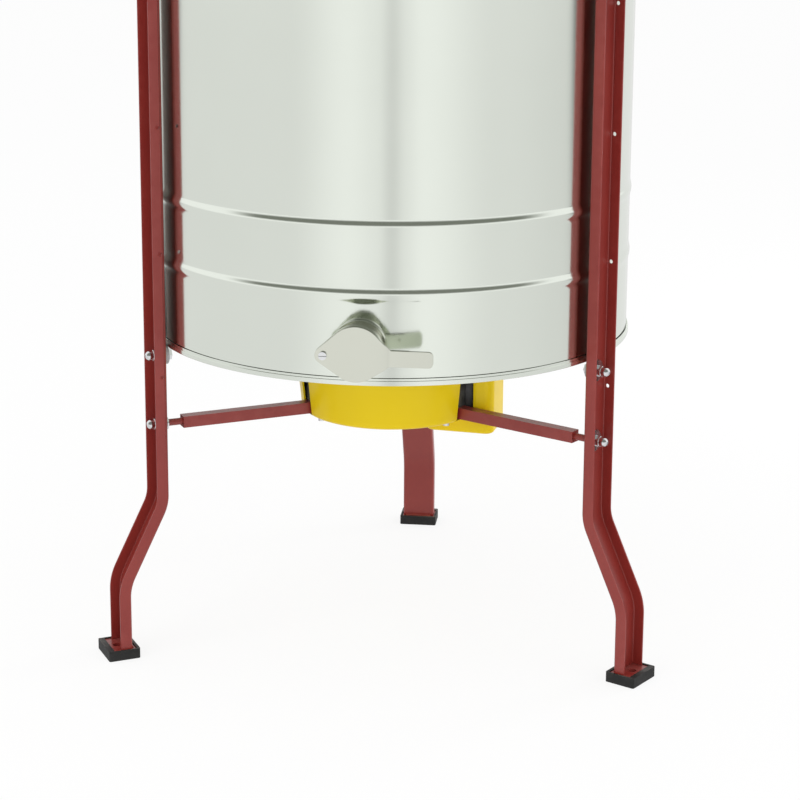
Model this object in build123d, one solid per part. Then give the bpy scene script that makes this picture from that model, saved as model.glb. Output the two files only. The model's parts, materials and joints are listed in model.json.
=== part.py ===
from build123d import *
import math
import os

# Radial honey extractor with the drive under the drum, in millimetres.
# The origin is on the floor under the drum axis, +Z is up and the honey gate faces -Y.
# A piece that belongs to one side is drawn facing the front (radius along -Y) and then turned into place.

# Clearances
FIT_GAP = 0.15              # between pieces that are assembled and don't move on each other
RUNNING_GAP = 0.06          # radial, between a turning shaft and its bore
SLIDING_GAP = 0.4           # between pieces that pass each other
CUT = 1.0                   # how far a cutting shape reaches past the material

# Drum
DRUM_RADIUS = 315.0         # outside of the wall
DRUM_WALL = 1.0
DRUM_BASE = 412.5           # underside of the bottom seam
DRUM_HEIGHT = 606.0
BEAD_HEIGHTS = (110.5, 194.0)   # lower bead middles above the seam underside
UPPER_BEAD_DROP = 113.5     # upper bead middle below the drum top
BEAD_HALF_WIDTH = 11.5
BEAD_RISE = 1.8
RIM_RADIUS = 4.5
RIM_OFFSET = 4.0            # rim wire centre outside the wall
SEAM_RISE = 9.0
SEAM_OUTSIDE = 3.6          # seam face outside the drum wall
SEAM_FLOOR = 2.0
SEAM_SLOT_GAP = 0.2         # seam groove beside the wall
SEAM_LIP = 1.2
CONE_RISE = 52.0
CONE_SHEET = 1.6
NECK_RADIUS = 23.5          # bore, holds the shaft seal
NECK_WALL = 3.0
NECK_RISE = 18.0

# Honey gate
GATE_HEIGHT = 49.0          # outlet axis above the seam underside
GATE_FACE_OFFSET = 38.0     # gate face outside the drum wall
GATE_BORE = 25.0
GATE_PIPE_RADIUS = 30.0
GATE_PLATE = 6.0
GATE_PLATE_RADIUS = 34.5
GATE_COLLAR_RADIUS = 33.0   # collar on the pipe, against the drum wall
GATE_COLLAR = 7.0
GATE_FINGER_SHEET = 3.0     # stop finger of the body, behind the flap's tongue
GATE_FINGER_RADIUS = 3.0
GATE_FINGER_RISE = 2.0
GATE_FINGER_START = 30.0
GATE_FINGER_END = 62.0
GATE_PIVOT_SIDE = -39.0
GATE_PIVOT_DROP = 2.0       # pivot below the outlet axis
GATE_EAR_RADIUS = 10.0
GATE_SCREW_RADIUS = 3.0
GATE_SCREW_HEAD_RADIUS = 5.0
GATE_SCREW_HEAD = 3.0
GATE_SLOT_WIDTH = 1.4
GATE_SLOT_DEPTH = 1.5
GATE_NUT_ACROSS = 10.0
GATE_NUT = 5.0
SEAL_INNER = 27.0
SEAL_OUTER = 31.0
SEAL_GROOVE = 2.0
SEAL_STAND = 0.3            # seal stands proud of the gate face
FLAP_RADIUS = 34.0
FLAP_SHEET = 4.0
FLAP_GAP = 0.4              # between gate face and flap
FLAP_NECK_SIDE = 38.0       # rounded neck between the disc and the tongue
FLAP_STEP = 2.0             # tongue stands this far behind the disc's back
FLAP_BEND_START = 35.0      # clear of the face plate's edge
FLAP_BEND_END = 39.0
FLAP_TONGUE_END = 92.7
FLAP_TONGUE_LOW = -14.4     # tongue edges from the outlet axis
FLAP_TONGUE_HIGH = 5.6
FLAP_TONGUE_SHEET = 3.0
FLAP_TONGUE_CORNER = 6.0
STOP_RADIUS = 2.0           # peg behind the flap's tongue that meets the body's finger
STOP_SIDE = 56.0
STOP_GAP = 1.0
STOP_REACH = 5.5            # peg behind the gate face

# Legs and feet
LEG_ANGLES = {"left": -60.0, "right": 60.0, "rear": 180.0}
LEG_STAND_OFF = 6.3         # leg web outside the drum wall
LEG_WIDTH = 46.5
LEG_DEPTH = 16.2
LEG_SHEET = 2.5
LEG_CORNER = 4.0            # outside radius of the fold between web and flange
LEG_BEND_RADIUS = 60.0
LEG_SPLAY = 53.7
LEG_BEND_TOP = 203.0
LEG_BEND_LOW = 96.0
LEG_TOP_DROP = 28.5         # leg top below the drum top
FLANGE_HOLE_RADIUS = 2.5
FLANGE_HOLE_OFFSET = 6.7
FLANGE_HOLE_PITCH = 161.5
FLANGE_HOLE_COUNT = 4
FLANGE_HOLE_DROP = 36.5     # lowest hole below the drum seam
FOOT_FLOOR = 8.0
FOOT_HEIGHT = 13.4
FOOT_LENGTH = 42.0
FOOT_WIDTH = 54.5
FOOT_CORNER = 2.5
FOOT_BACK = 9.0             # rubber foot starts this far inside the web
FOOT_PLATE = 4.0
FOOT_PLATE_LENGTH = 30.0
FOOT_PLATE_BACK = 4.9       # foot plate starts this far inside the web
FOOT_PLATE_WIDTH = 49.0
ANCHOR_HOLE = 5.3
ANCHOR_OFFSET = 15.0        # anchor hole outside the web

# Fasteners
M8_RADIUS = 4.0
M8_HOLE = 4.3
M8_ACROSS = 13.0
M8_HEAD = 5.3
M8_LENGTH = 22.0
WASHER_RADIUS = 14.2
WASHER_SHEET = 1.6
ACORN_BASE = 8.0
ACORN_NECK = 3.5
ACORN_DOME = 6.25
ACORN_BORE_DEPTH = 11.5
M6_RADIUS = 3.0
M6_HOLE = 3.2
M6_ACROSS = 10.0
M6_HEAD = 4.0
M6_LENGTH = 12.0
M4_RADIUS = 2.0
M4_HOLE = 2.1
M4_HEAD_RADIUS = 3.8
M4_HEAD = 2.6
M4_LENGTH = 8.0
SUPPORT_DROP = 12.5         # support bolts below the drum seam
SUPPORT_BUSH_LENGTH = 7.0
SPACER_RADIUS = 8.0
TOP_BOLT_DROP = 45.0        # top leg bolts below the drum top

# Arms and hub
ARM_DROP = 104.5            # arm middle below the drum seam
ARM_SIZE = 15.0
ARM_WALL = 1.5
ARM_START = 34.0
ARM_END_GAP = 26.1          # arm end inside the leg web
ARM_CAP = 3.0
STUD_RADIUS = 4.5
STUD_LENGTH = 20.0
COLLAR_RADIUS = 8.2
COLLAR = 2.0
ARM_BOLTS = (76.0, 100.0)
DISH_RADIUS = 116.5
DISH_PLATE = 5.0
DISH_RIM = 3.0
DISH_RIM_RISE = 25.0
DISH_BORE = 20.0

# Shaft and bearings
JOURNAL_RADIUS = 12.5
SHOULDER_STEP = 2.5         # bearing shoulder above the journal
SHOULDER_RISE = 2.0
SHAFT_RADIUS = 15.0
BEARING_RADIUS = 26.0
BEARING_WIDTH = 15.0
INNER_RACE_RADIUS = 16.5
OUTER_RACE_BORE = 21.0
SHIELD = 1.0
HOUSING_FLANGE_RADIUS = 52.0
HOUSING_FLANGE = 8.0
HOUSING_RADIUS = 34.0
HOUSING_HEIGHT = 30.0
HOUSING_SHAFT_GAP = 2.0
HOUSING_BOLT_CIRCLE = 43.0
HOUSING_BOLTS = 4
SCREW_CIRCLE_START = 45.0   # first screw of the housing and motor circles, in degrees
CAP_SCREW_CIRCLE = 30.0
CAP_SCREWS = 3
CAP_SHEET = 3.0
CAP_DOME_RADIUS = 20.0
CAP_DOME = 6.0
SHAFT_SEAL_WIDTH = 7.0

# Motor and belt drive
MOTOR_ANGLE = 81.5
MOTOR_DISTANCE = 110.0
MOTOR_RADIUS = 30.0
MOTOR_LENGTH = 63.0
MOTOR_RISE = 26.0           # motor top above the hub dish
MOTOR_WALL = 4.0
MOTOR_END = 8.0
MOTOR_CHAMFER = 3.0
MOTOR_HOLE_GAP = 3.0        # hub dish cut-out around the motor
MOTOR_SHAFT_RADIUS = 5.0
ARMATURE_GAP = 3.0
MOTOR_SCREW_CIRCLE = 20.0
MOTOR_SCREWS = 4
BRACKET_PLATE = 4.0
BRACKET_MOTOR_GAP = 4.0     # bracket's upright beside the motor
BRACKET_FOOT_LENGTH = 16.0
BRACKET_HALF_WIDTH = 26.0
BRACKET_FOOT_HALF_WIDTH = 20.0
BRACKET_PILOT = 12.0
BRACKET_BOLT_SIDE = 12.0
BRACKET_BOLT_INSET = 7.0    # foot bolts inside the upright
DRIVEN_RADIUS = 75.0
DRIVER_RADIUS = 22.0
PULLEY_WIDTH = 20.0
PULLEY_RISE = 15.5          # pulleys above the lower bearing housing
PULLEY_FLANGE = 2.5
PULLEY_FLANGE_RISE = 3.0
PULLEY_RIM = 7.0
PULLEY_WEB = 6.0
PULLEY_HUB_RADIUS = 26.0
PULLEY_HUB_OVERHANG = 4.0
PULLEY_HOLES = 6
PULLEY_HOLE_RADIUS = 12.0
BELT_GAP = 0.3
BELT_SHEET = 2.5
BELT_WIDTH = 12.0

# Drive cover and motor cover
COVER_WALL = 2.5
COVER_ARM_GAP = 1.4         # cover floor below the arms
COVER_RADIUS = 119.0        # outside at the floor
COVER_DRAFT = 6.0           # degrees, wider upwards
COVER_EDGE = 7.0
COVER_TOP_RISE = 6.0        # above the pulleys
COVER_SLOT_HALF = 12.5
COVER_SCREW_CIRCLE = 110.0
COVER_SCREW_ANGLES = (-49.0, 49.0, -131.0, 131.0)
COVER_BOSS_RADIUS = 5.0
COVER_SCREW_RADIUS = 2.5
COVER_SCREW_HOLE = 2.7
COVER_SCREW_HEAD_RADIUS = 4.5
COVER_SCREW_HEAD = 3.0
BOX_INNER_GAP = 19.5        # motor cover beside the motor, towards the drum axis
BOX_OUTER_GAP = 7.5
BOX_SIDE_GAP = 5.0
BOX_CORNER = 12.0
BOX_EDGE = 4.0
BOX_MOTOR_GAP = 3.0         # motor cover floor below the motor
COVER_SEAM = 0.3            # between the two covers
TAB_LENGTH = 12.0
TAB_SIDES = (-10.0, 36.0)
TAB_SCREWS = (0.0, 28.0)

# Basket
FRAME_PLACES = 12
FRAME_SLOT = 30.0           # clear width between a frame's two guide bars
FRAME_DEPTH = 160.0         # room for a frame along the radius
BASKET_GAP = 17.0           # basket inside the drum wall
BAND_WIDTH = 20.0
COMB_SHEET = 3.0
COMB_DISC_GAP = 6.0         # comb disc inside the frames
FRAME_REST = 22.0           # floor disc under the frames' inner ends
FRAME_STEP = 16.0           # floor band under the frames' outer ends
GUIDE_WIDTH = 6.0
GUIDE_HEIGHT = 6.0
GUIDE_LAP = 15.0            # guide bars on the comb disc and on the band
SPOKES = 6
SPOKE_WIDTH = 16.0
SPOKE_HEIGHT = 5.0
SPOKE_LAP = 12.0
FLOOR_RISE = 6.5            # basket floor above the neck
BASKET_HUB_RADIUS = 52.0
BASKET_HUB_FLANGE = 6.0
BASKET_BOSS_RADIUS = 26.0
BASKET_HUB_HEIGHT = 17.0
HUB_BOLTS = 6
HUB_BOLT_CIRCLE = 42.0
UPRIGHT_RADIUS = 4.0
UPRIGHT_INSET = 10.0
TOP_SPACE = 136.0           # drum height less the frame length
FRAME_OVERHANG = 20.0       # frame end above the upper comb

# Bridge and lids
BRIDGE_HALF_WIDTH = 55.0
BRIDGE_RISE = 26.0
BRIDGE_SHEET = 2.5
BRIDGE_RIM_GAP = 0.2
BRIDGE_TAB_HALF = 35.0
BRIDGE_TAB_DROP = 34.0      # tab below the drum top
BRIDGE_BOLT_SIDE = 20.0
BRIDGE_BOLT_DROP = 19.0
BRIDGE_SHAFT_GAP = 3.0
LID_SHEET = 4.0
LID_RIM_GAP = 0.3
LID_OVERHANG = 7.0          # lid edge outside the drum wall
HINGE_SIDES = (-120.0, 120.0)
HINGE_HALF_WIDTH = 20.0
HINGE_KNUCKLE_HALF = 8.0
HINGE_LEAF = 2.0
HINGE_LEAF_LENGTH = 36.0
HINGE_PIN_RADIUS = 2.0
HINGE_BARREL_RADIUS = 4.0
HINGE_OFFSET = 6.5          # hinge axis beside the bridge
HINGE_RISE = 4.5            # hinge axis above the lid
HANDLE_INSET = 89.0         # lid handle inside the lid's edge
HANDLE_HALF_WIDTH = 45.0
HANDLE_RISE = 30.0
HANDLE_ROD = 4.5
HANDLE_BEND = 12.0
HANDLE_FOOT_RADIUS = 10.0
HANDLE_FOOT = 3.0

# Controls on the right leg
CONTROL_BASE_DROP = 118.5   # box underside below the drum top
CONTROL_HEIGHT = 140.0
CONTROL_HALF_WIDTH = 55.0
CONTROL_DEPTH = 60.0
CONTROL_WALL = 3.0
CONTROL_CORNER = 8.0
CONTROL_BACK_GAP = 1.5      # box back outside the leg's flange tips and acorn nut
CONTROL_BOSS_HALF = 19.0
CONTROL_BOSS_RISE = 46.0
CONTROL_BOSS_START = 10.0
CONTROL_BOLTS = (23.0, 43.0)   # above the box underside
PANEL = 3.0
PANEL_SCREW_INSET = 7.0
PANEL_PAD = 5.5
BUTTON_RADIUS = 8.0
BUTTON_GAP = 0.35
BUTTON_FLANGE_RADIUS = 10.0
BUTTON_FLANGE = 3.0
BUTTON_INSIDE = 6.0
BUTTON_SIDE = 25.0
BUTTON_RISE = 35.0
START_STAND = 6.0
STOP_STAND = 6.0
STOP_CAP_RADIUS = 16.0
STOP_CAP = 8.0
KNOB_RISE = 95.0
KNOB_RADIUS = 17.0
KNOB_HEIGHT = 16.0
KNOB_GAP = 1.0
KNOB_STEM_RADIUS = 3.0
KNOB_STEM_INSIDE = 8.0
KNOB_FLUTES = 12
KNOB_FLUTE_RADIUS = 2.2
KNOB_MARK_WIDTH = 2.0
KNOB_MARK_DEPTH = 0.8
GLAND_SIDES = (-22.0, 22.0)
GLAND_ACROSS = 18.0
GLAND_HEX = 6.0
GLAND_NECK_RADIUS = 7.5
GLAND_NECK = 8.0
GLAND_THREAD_RADIUS = 6.0
GLAND_BORE = 4.0

# Heights and radii that follow from the sizes above
DRUM_TOP = DRUM_BASE + DRUM_HEIGHT
BEAD_MIDDLES = [DRUM_BASE + height for height in BEAD_HEIGHTS] + [DRUM_TOP - UPPER_BEAD_DROP]
WALL_BOTTOM = DRUM_BASE + SEAM_FLOOR + FIT_GAP
NECK_BASE = DRUM_BASE + SEAM_FLOOR + SEAM_LIP + CONE_RISE
NECK_TOP = NECK_BASE + NECK_RISE
GATE_Z = DRUM_BASE + GATE_HEIGHT
GATE_FACE = DRUM_RADIUS + GATE_FACE_OFFSET
PIVOT_Z = GATE_Z - GATE_PIVOT_DROP
LEG_WEB = DRUM_RADIUS + LEG_STAND_OFF
LEG_OUTSIDE = LEG_WEB + LEG_SHEET
LEG_TOP = DRUM_TOP - LEG_TOP_DROP
LEG_FOOT = LEG_WEB + LEG_SPLAY
FOOT_TOP = FOOT_FLOOR + FOOT_PLATE
ANCHOR_RADIUS = LEG_FOOT + ANCHOR_OFFSET
PLATE_START = LEG_FOOT - FOOT_PLATE_BACK
SUPPORT_Z = DRUM_BASE - SUPPORT_DROP
TOP_BOLT_Z = DRUM_TOP - TOP_BOLT_DROP
ARM_Z = DRUM_BASE - ARM_DROP
ARM_TOP = ARM_Z + ARM_SIZE / 2
ARM_BOTTOM = ARM_Z - ARM_SIZE / 2
ARM_END = LEG_WEB - ARM_END_GAP
DISH_TOP = ARM_TOP + DISH_PLATE
HOUSING_TOP = DISH_TOP + HOUSING_HEIGHT
MOTOR_TOP = DISH_TOP + MOTOR_RISE
MOTOR_BOTTOM = MOTOR_TOP - MOTOR_LENGTH
PULLEY_BOTTOM = HOUSING_TOP + PULLEY_RISE
PULLEY_TOP = PULLEY_BOTTOM + PULLEY_WIDTH
BELT_BOTTOM = PULLEY_BOTTOM + (PULLEY_WIDTH - BELT_WIDTH) / 2
COVER_FLOOR_TOP = ARM_BOTTOM - COVER_ARM_GAP
COVER_BOTTOM = COVER_FLOOR_TOP - COVER_WALL
COVER_TOP = PULLEY_TOP + COVER_TOP_RISE
BOX_BOTTOM = MOTOR_BOTTOM - BOX_MOTOR_GAP - COVER_WALL
BOX_START = MOTOR_DISTANCE - MOTOR_RADIUS - BOX_INNER_GAP - COVER_WALL
BOX_LENGTH = 2 * MOTOR_RADIUS + BOX_INNER_GAP + BOX_OUTER_GAP + 2 * COVER_WALL
BOX_HALF_WIDTH = MOTOR_RADIUS + BOX_SIDE_GAP + COVER_WALL
BRACKET_WEB = MOTOR_DISTANCE - MOTOR_RADIUS - BRACKET_MOTOR_GAP - BRACKET_PLATE
BRACKET_BOLT_DISTANCE = BRACKET_WEB - BRACKET_BOLT_INSET
BASKET_RADIUS = DRUM_RADIUS - BASKET_GAP
BAND_INNER = BASKET_RADIUS - BAND_WIDTH
FRAME_INNER = BAND_INNER - FRAME_DEPTH
COMB_DISC_RADIUS = FRAME_INNER - COMB_DISC_GAP
FLOOR_DISC_RADIUS = FRAME_INNER + FRAME_REST
FLOOR_BAND_INNER = BAND_INNER - FRAME_STEP
FLOOR_BOTTOM = NECK_TOP + FLOOR_RISE
FLOOR_TOP = FLOOR_BOTTOM + COMB_SHEET
LOWER_COMB = FLOOR_TOP + BASKET_HUB_HEIGHT
FRAME_LENGTH = DRUM_HEIGHT - TOP_SPACE
UPPER_COMB = FLOOR_TOP + FRAME_LENGTH - FRAME_OVERHANG
RIM_TOP = DRUM_TOP + RIM_RADIUS
BRIDGE_BOTTOM = RIM_TOP + BRIDGE_RIM_GAP
BRIDGE_TOP = BRIDGE_BOTTOM + BRIDGE_RISE
BRIDGE_END = DRUM_RADIUS + RIM_OFFSET + RIM_RADIUS + SLIDING_GAP
UPPER_HOUSING_TOP = BRIDGE_TOP + HOUSING_HEIGHT
LID_BOTTOM = RIM_TOP + LID_RIM_GAP
LID_TOP = LID_BOTTOM + LID_SHEET
LID_RADIUS = DRUM_RADIUS + LID_OVERHANG
HINGE_Y = BRIDGE_HALF_WIDTH + HINGE_OFFSET
HINGE_Z = LID_TOP + HINGE_RISE
HINGE_WIDTH = (-HINGE_HALF_WIDTH, HINGE_HALF_WIDTH)
CONTROL_BASE = DRUM_TOP - CONTROL_BASE_DROP
CONTROL_TOP = CONTROL_BASE + CONTROL_HEIGHT
ACORN_TIP = LEG_OUTSIDE + WASHER_SHEET + ACORN_BASE + ACORN_NECK + ACORN_DOME
CONTROL_BACK = max(LEG_WEB + LEG_DEPTH, ACORN_TIP) + CONTROL_BACK_GAP
CONTROL_FRONT = CONTROL_BACK + CONTROL_DEPTH
PANEL_FACE = CONTROL_FRONT + PANEL
BUTTON_Z = CONTROL_BASE + BUTTON_RISE
KNOB_Z = CONTROL_BASE + KNOB_RISE
MOTOR_TURN = Rot(0, 0, MOTOR_ANGLE)
SIDE_PLANE = Plane(origin=(0, 0, 0), x_dir=(0, -1, 0), z_dir=(-1, 0, 0))


# Building blocks

def disc(radius, bottom, top, x=0.0, y=0.0):
    """Upright cylinder between two heights."""
    return Pos(x, y, (bottom + top) / 2) * Cylinder(radius, top - bottom)


def ring(outer, inner, bottom, top, x=0.0, y=0.0):
    """Upright tube between two heights."""
    return disc(outer, bottom, top, x, y) - disc(inner, bottom - CUT, top + CUT, x, y)


def block(x_range, radius_range, z_range):
    """Box that faces the front: its depth runs from the first radius to the second along -Y."""
    width = x_range[1] - x_range[0]
    depth = radius_range[1] - radius_range[0]
    height = z_range[1] - z_range[0]
    middle = Pos(sum(x_range) / 2, -sum(radius_range) / 2, sum(z_range) / 2)
    return middle * Box(width, depth, height)


def spoke(radius, inner, outer, height, side=0.0):
    """Cylinder that lies along -Y between two radii."""
    return Pos(side, -(inner + outer) / 2, height) * Rot(90, 0, 0) * Cylinder(radius, outer - inner)


def spoke_hex(across, inner, outer, height, side=0.0):
    """Hexagonal bar that lies along -Y between two radii."""
    plane = Plane(origin=(side, -inner, height), x_dir=(1, 0, 0), z_dir=(0, -1, 0))
    return extrude(plane * RegularPolygon(across / 2, 6, major_radius=False), outer - inner)


def upright_hex(across, bottom, top, x=0.0, y=0.0):
    """Hexagonal bar along Z between two heights."""
    return extrude(Pos(x, y, bottom) * RegularPolygon(across / 2, 6, major_radius=False), top - bottom)


def turned(points):
    """Solid of revolution about the drum axis from (radius, height) points; repeated points are dropped."""
    kept = [point for point, following in zip(points, points[1:] + points[:1]) if point != following]
    return revolve(Plane.XZ * make_face(Polyline(*kept, close=True)), Axis.Z)


def around(shape, count, start=0.0):
    """Copies of a shape, evenly spaced about the drum axis."""
    return [Rot(0, 0, start + 360 / count * step) * shape for step in range(count)]


def at_legs(shape):
    """One copy of a shape at each leg."""
    return [Rot(0, 0, angle) * shape for angle in LEG_ANGLES.values()]


def without(shape, cutters):
    """Shape with every cutter taken out."""
    for cutter in cutters:
        shape = shape - cutter
    return shape


def upright_bolt(seat, x, y):
    """M6 hexagon bolt whose head sits on a face at the given height."""
    return disc(M6_RADIUS, seat - M6_LENGTH, seat, x, y) + upright_hex(M6_ACROSS, seat, seat + M6_HEAD, x, y)


def small_screw(seat, x, y):
    """M4 screw whose round head sits on a face at the given height."""
    return disc(M4_RADIUS, seat - M4_LENGTH, seat, x, y) + disc(M4_HEAD_RADIUS, seat, seat + M4_HEAD, x, y)


def circle_points(count, radius, start=0.0):
    """Places on a circle about the drum axis, as (x, y)."""
    angles = [math.radians(start + 360 / count * step) for step in range(count)]
    return [(radius * math.sin(angle), -radius * math.cos(angle)) for angle in angles]


def save(name, *solids):
    """Write one node, holding one solid or several."""
    pieces = [piece for solid in solids for piece in solid.solids()]
    shape = pieces[0] if len(pieces) == 1 else Compound(children=pieces)
    export_step(shape, f"parts/{name}.step")


# Drum

def bead_edges(inset, middle):
    """Edges of one bead, going up, on the wall surface that lies inset from the outside."""
    curve = (BEAD_HALF_WIDTH ** 2 + BEAD_RISE ** 2) / (4 * BEAD_RISE)
    foot = Vector(DRUM_RADIUS + curve, middle - BEAD_HALF_WIDTH)
    crest = Vector(DRUM_RADIUS + BEAD_RISE - curve, middle)
    lean = (crest - foot).normalized()
    inward = Vector(-1, 0)
    start = foot + inward * (curve + inset)
    swell = foot + (lean + inward).normalized() * (curve + inset)
    turn = foot + lean * (curve + inset)
    peak = crest - inward * (curve - inset)
    mirrored = [Vector(point.X, 2 * middle - point.Y) for point in (turn, swell, start)]
    return [
        ThreePointArc(start, swell, turn),
        ThreePointArc(turn, peak, mirrored[0]),
        ThreePointArc(*mirrored),
    ]


def wall_side(inset):
    """Edges of one side of the drum wall, from the seam to the rim."""
    radius = DRUM_RADIUS - inset
    below = Vector(radius, WALL_BOTTOM)
    edges = []
    for middle in BEAD_MIDDLES:
        bead = bead_edges(inset, middle)
        edges.append(Line(below, bead[0] @ 0))
        edges.extend(bead)
        below = bead[-1] @ 1
    edges.append(Line(below, (radius, DRUM_TOP)))
    return edges


def bridge_bolt_places():
    """The bridge's end bolts as (turn about the axis, sideways distance)."""
    return [(turn, side) for turn in (-90.0, 90.0) for side in (-BRIDGE_BOLT_SIDE, BRIDGE_BOLT_SIDE)]


def make_drum_shell():
    """Rolled wall with beads and a rolled rim, open at the outlet and the bolt holes."""
    outside = wall_side(0.0)
    inside = wall_side(DRUM_WALL)
    ends = [Line(outside[0] @ 0, inside[0] @ 0), Line(outside[-1] @ 1, inside[-1] @ 1)]
    wall = revolve(Plane.XZ * make_face(outside + inside + ends), Axis.Z)
    wall += Pos(0, 0, DRUM_TOP) * Torus(DRUM_RADIUS + RIM_OFFSET, RIM_RADIUS)
    reach = (DRUM_RADIUS - 4 * RIM_RADIUS, DRUM_RADIUS + 4 * RIM_RADIUS)
    cutters = [spoke(GATE_PIPE_RADIUS + FIT_GAP, *reach, GATE_Z)]
    cutters += at_legs(spoke(M8_HOLE, *reach, TOP_BOLT_Z))
    for turn, side in bridge_bolt_places():
        cutters.append(Rot(0, 0, turn) * spoke(M6_HOLE, *reach, DRUM_TOP - BRIDGE_BOLT_DROP, side))
    return without(wall, cutters)


def make_drum_bottom():
    """Cone that falls to the wall, with the folded seam outside and the seal neck inside."""
    seam_top = DRUM_BASE + SEAM_RISE
    groove_out = DRUM_RADIUS + SEAM_SLOT_GAP
    groove_in = DRUM_RADIUS - DRUM_WALL - SEAM_SLOT_GAP
    lip = groove_in - SEAM_LIP
    neck_out = NECK_RADIUS + NECK_WALL
    return turned([
        (DRUM_RADIUS + SEAM_OUTSIDE, DRUM_BASE),
        (DRUM_RADIUS + SEAM_OUTSIDE, seam_top),
        (groove_out, seam_top),
        (groove_out, DRUM_BASE + SEAM_FLOOR),
        (groove_in, DRUM_BASE + SEAM_FLOOR),
        (groove_in, seam_top),
        (lip, seam_top),
        (lip, DRUM_BASE + SEAM_FLOOR + SEAM_LIP),
        (neck_out, NECK_BASE),
        (neck_out, NECK_TOP),
        (NECK_RADIUS, NECK_TOP),
        (NECK_RADIUS, NECK_BASE - CONE_SHEET),
        (lip - SEAM_LIP, DRUM_BASE + SEAM_LIP),
        (lip - SEAM_LIP, DRUM_BASE),
    ])


# Honey gate

def gate_sketch_solid(sketch, front, sheet):
    """Plate of the given sheet whose front face lies at a radius; the sketch is about the outlet axis."""
    plane = Plane(origin=(0, -front, GATE_Z), x_dir=(1, 0, 0), z_dir=(0, -1, 0))
    return extrude(plane * sketch, -sheet)


def hull_of(*circles):
    """Outline around circles, given as (x, z, radius) about the outlet axis, their seams turned inwards."""
    edges = []
    for x, z, radius in circles:
        seam = math.degrees(math.atan2(-z, -x))
        edges.extend((Pos(x, z) * Rot(0, 0, seam) * Circle(radius)).edges())
    return make_hull(edges)


def gate_outline(radius, *more_circles):
    """Outline of the face plate or the flap: disc and pivot ear, with any further rounded parts."""
    return hull_of((0, 0, radius), (GATE_PIVOT_SIDE, -GATE_PIVOT_DROP, GATE_EAR_RADIUS), *more_circles)


def make_gate_finger():
    """Finger of the body behind the flap's tongue, the stop of the shut flap."""
    outline = hull_of(
        (GATE_FINGER_START, GATE_FINGER_RISE, GATE_FINGER_RADIUS),
        (GATE_FINGER_END, GATE_FINGER_RISE, GATE_FINGER_RADIUS),
    )
    return gate_sketch_solid(outline, GATE_FACE - GATE_PLATE + GATE_FINGER_SHEET, GATE_FINGER_SHEET)


def make_gate_body():
    """Outlet pipe with a collar on the drum wall, and a face plate with a pivot ear and a stop finger."""
    body = gate_sketch_solid(gate_outline(GATE_PLATE_RADIUS), GATE_FACE, GATE_PLATE)
    body += make_gate_finger()
    body += spoke(GATE_PIPE_RADIUS, DRUM_RADIUS - GATE_BORE, GATE_FACE - GATE_PLATE / 2, GATE_Z)
    collar = spoke(GATE_COLLAR_RADIUS, DRUM_RADIUS - GATE_BORE, DRUM_RADIUS + GATE_COLLAR, GATE_Z)
    body += collar - disc(DRUM_RADIUS + FIT_GAP, GATE_Z - GATE_PLATE_RADIUS, GATE_Z + GATE_PLATE_RADIUS)
    groove = spoke(SEAL_OUTER, GATE_FACE - SEAL_GROOVE, GATE_FACE + CUT, GATE_Z)
    groove -= spoke(SEAL_INNER, GATE_FACE - 2 * SEAL_GROOVE, GATE_FACE + 2 * CUT, GATE_Z)
    return without(body, [
        spoke(GATE_BORE, DRUM_RADIUS - 2 * GATE_BORE, GATE_FACE + CUT, GATE_Z),
        disc(DRUM_RADIUS - DRUM_WALL, GATE_Z - GATE_PLATE_RADIUS, GATE_Z + GATE_PLATE_RADIUS),
        spoke(GATE_SCREW_RADIUS + FIT_GAP, DRUM_RADIUS, GATE_FACE + CUT, PIVOT_Z, GATE_PIVOT_SIDE),
        groove,
    ])


def make_gate_seal():
    """Rubber ring in the gate face, under the flap."""
    inner = GATE_FACE - SEAL_GROOVE
    outer = GATE_FACE + SEAL_STAND
    seal = spoke(SEAL_OUTER - FIT_GAP, inner, outer, GATE_Z)
    return seal - spoke(SEAL_INNER + FIT_GAP, inner - CUT, outer + CUT, GATE_Z)


def make_gate_screw():
    """Slotted pivot screw and its nut behind the ear."""
    flap_front = GATE_FACE + FLAP_GAP + FLAP_SHEET
    seat = flap_front + FLAP_GAP / 2
    ear_back = GATE_FACE - GATE_PLATE
    nut_end = ear_back - GATE_NUT
    screw = spoke(GATE_SCREW_RADIUS, nut_end - CUT, seat, PIVOT_Z, GATE_PIVOT_SIDE)
    screw += spoke(GATE_SCREW_HEAD_RADIUS, seat, seat + GATE_SCREW_HEAD, PIVOT_Z, GATE_PIVOT_SIDE)
    half = GATE_SLOT_WIDTH / 2
    reach = 2 * GATE_SCREW_HEAD_RADIUS
    top = seat + GATE_SCREW_HEAD
    slot = block((-reach, reach), (top - GATE_SLOT_DEPTH, top + CUT), (-half, half))
    screw -= Pos(GATE_PIVOT_SIDE, 0, PIVOT_Z) * slot
    nut = spoke_hex(GATE_NUT_ACROSS, nut_end, ear_back, PIVOT_Z, GATE_PIVOT_SIDE)
    nut -= spoke(GATE_SCREW_RADIUS + FIT_GAP / 2, nut_end - CUT, ear_back + CUT, PIVOT_Z, GATE_PIVOT_SIDE)
    return screw, nut


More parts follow.
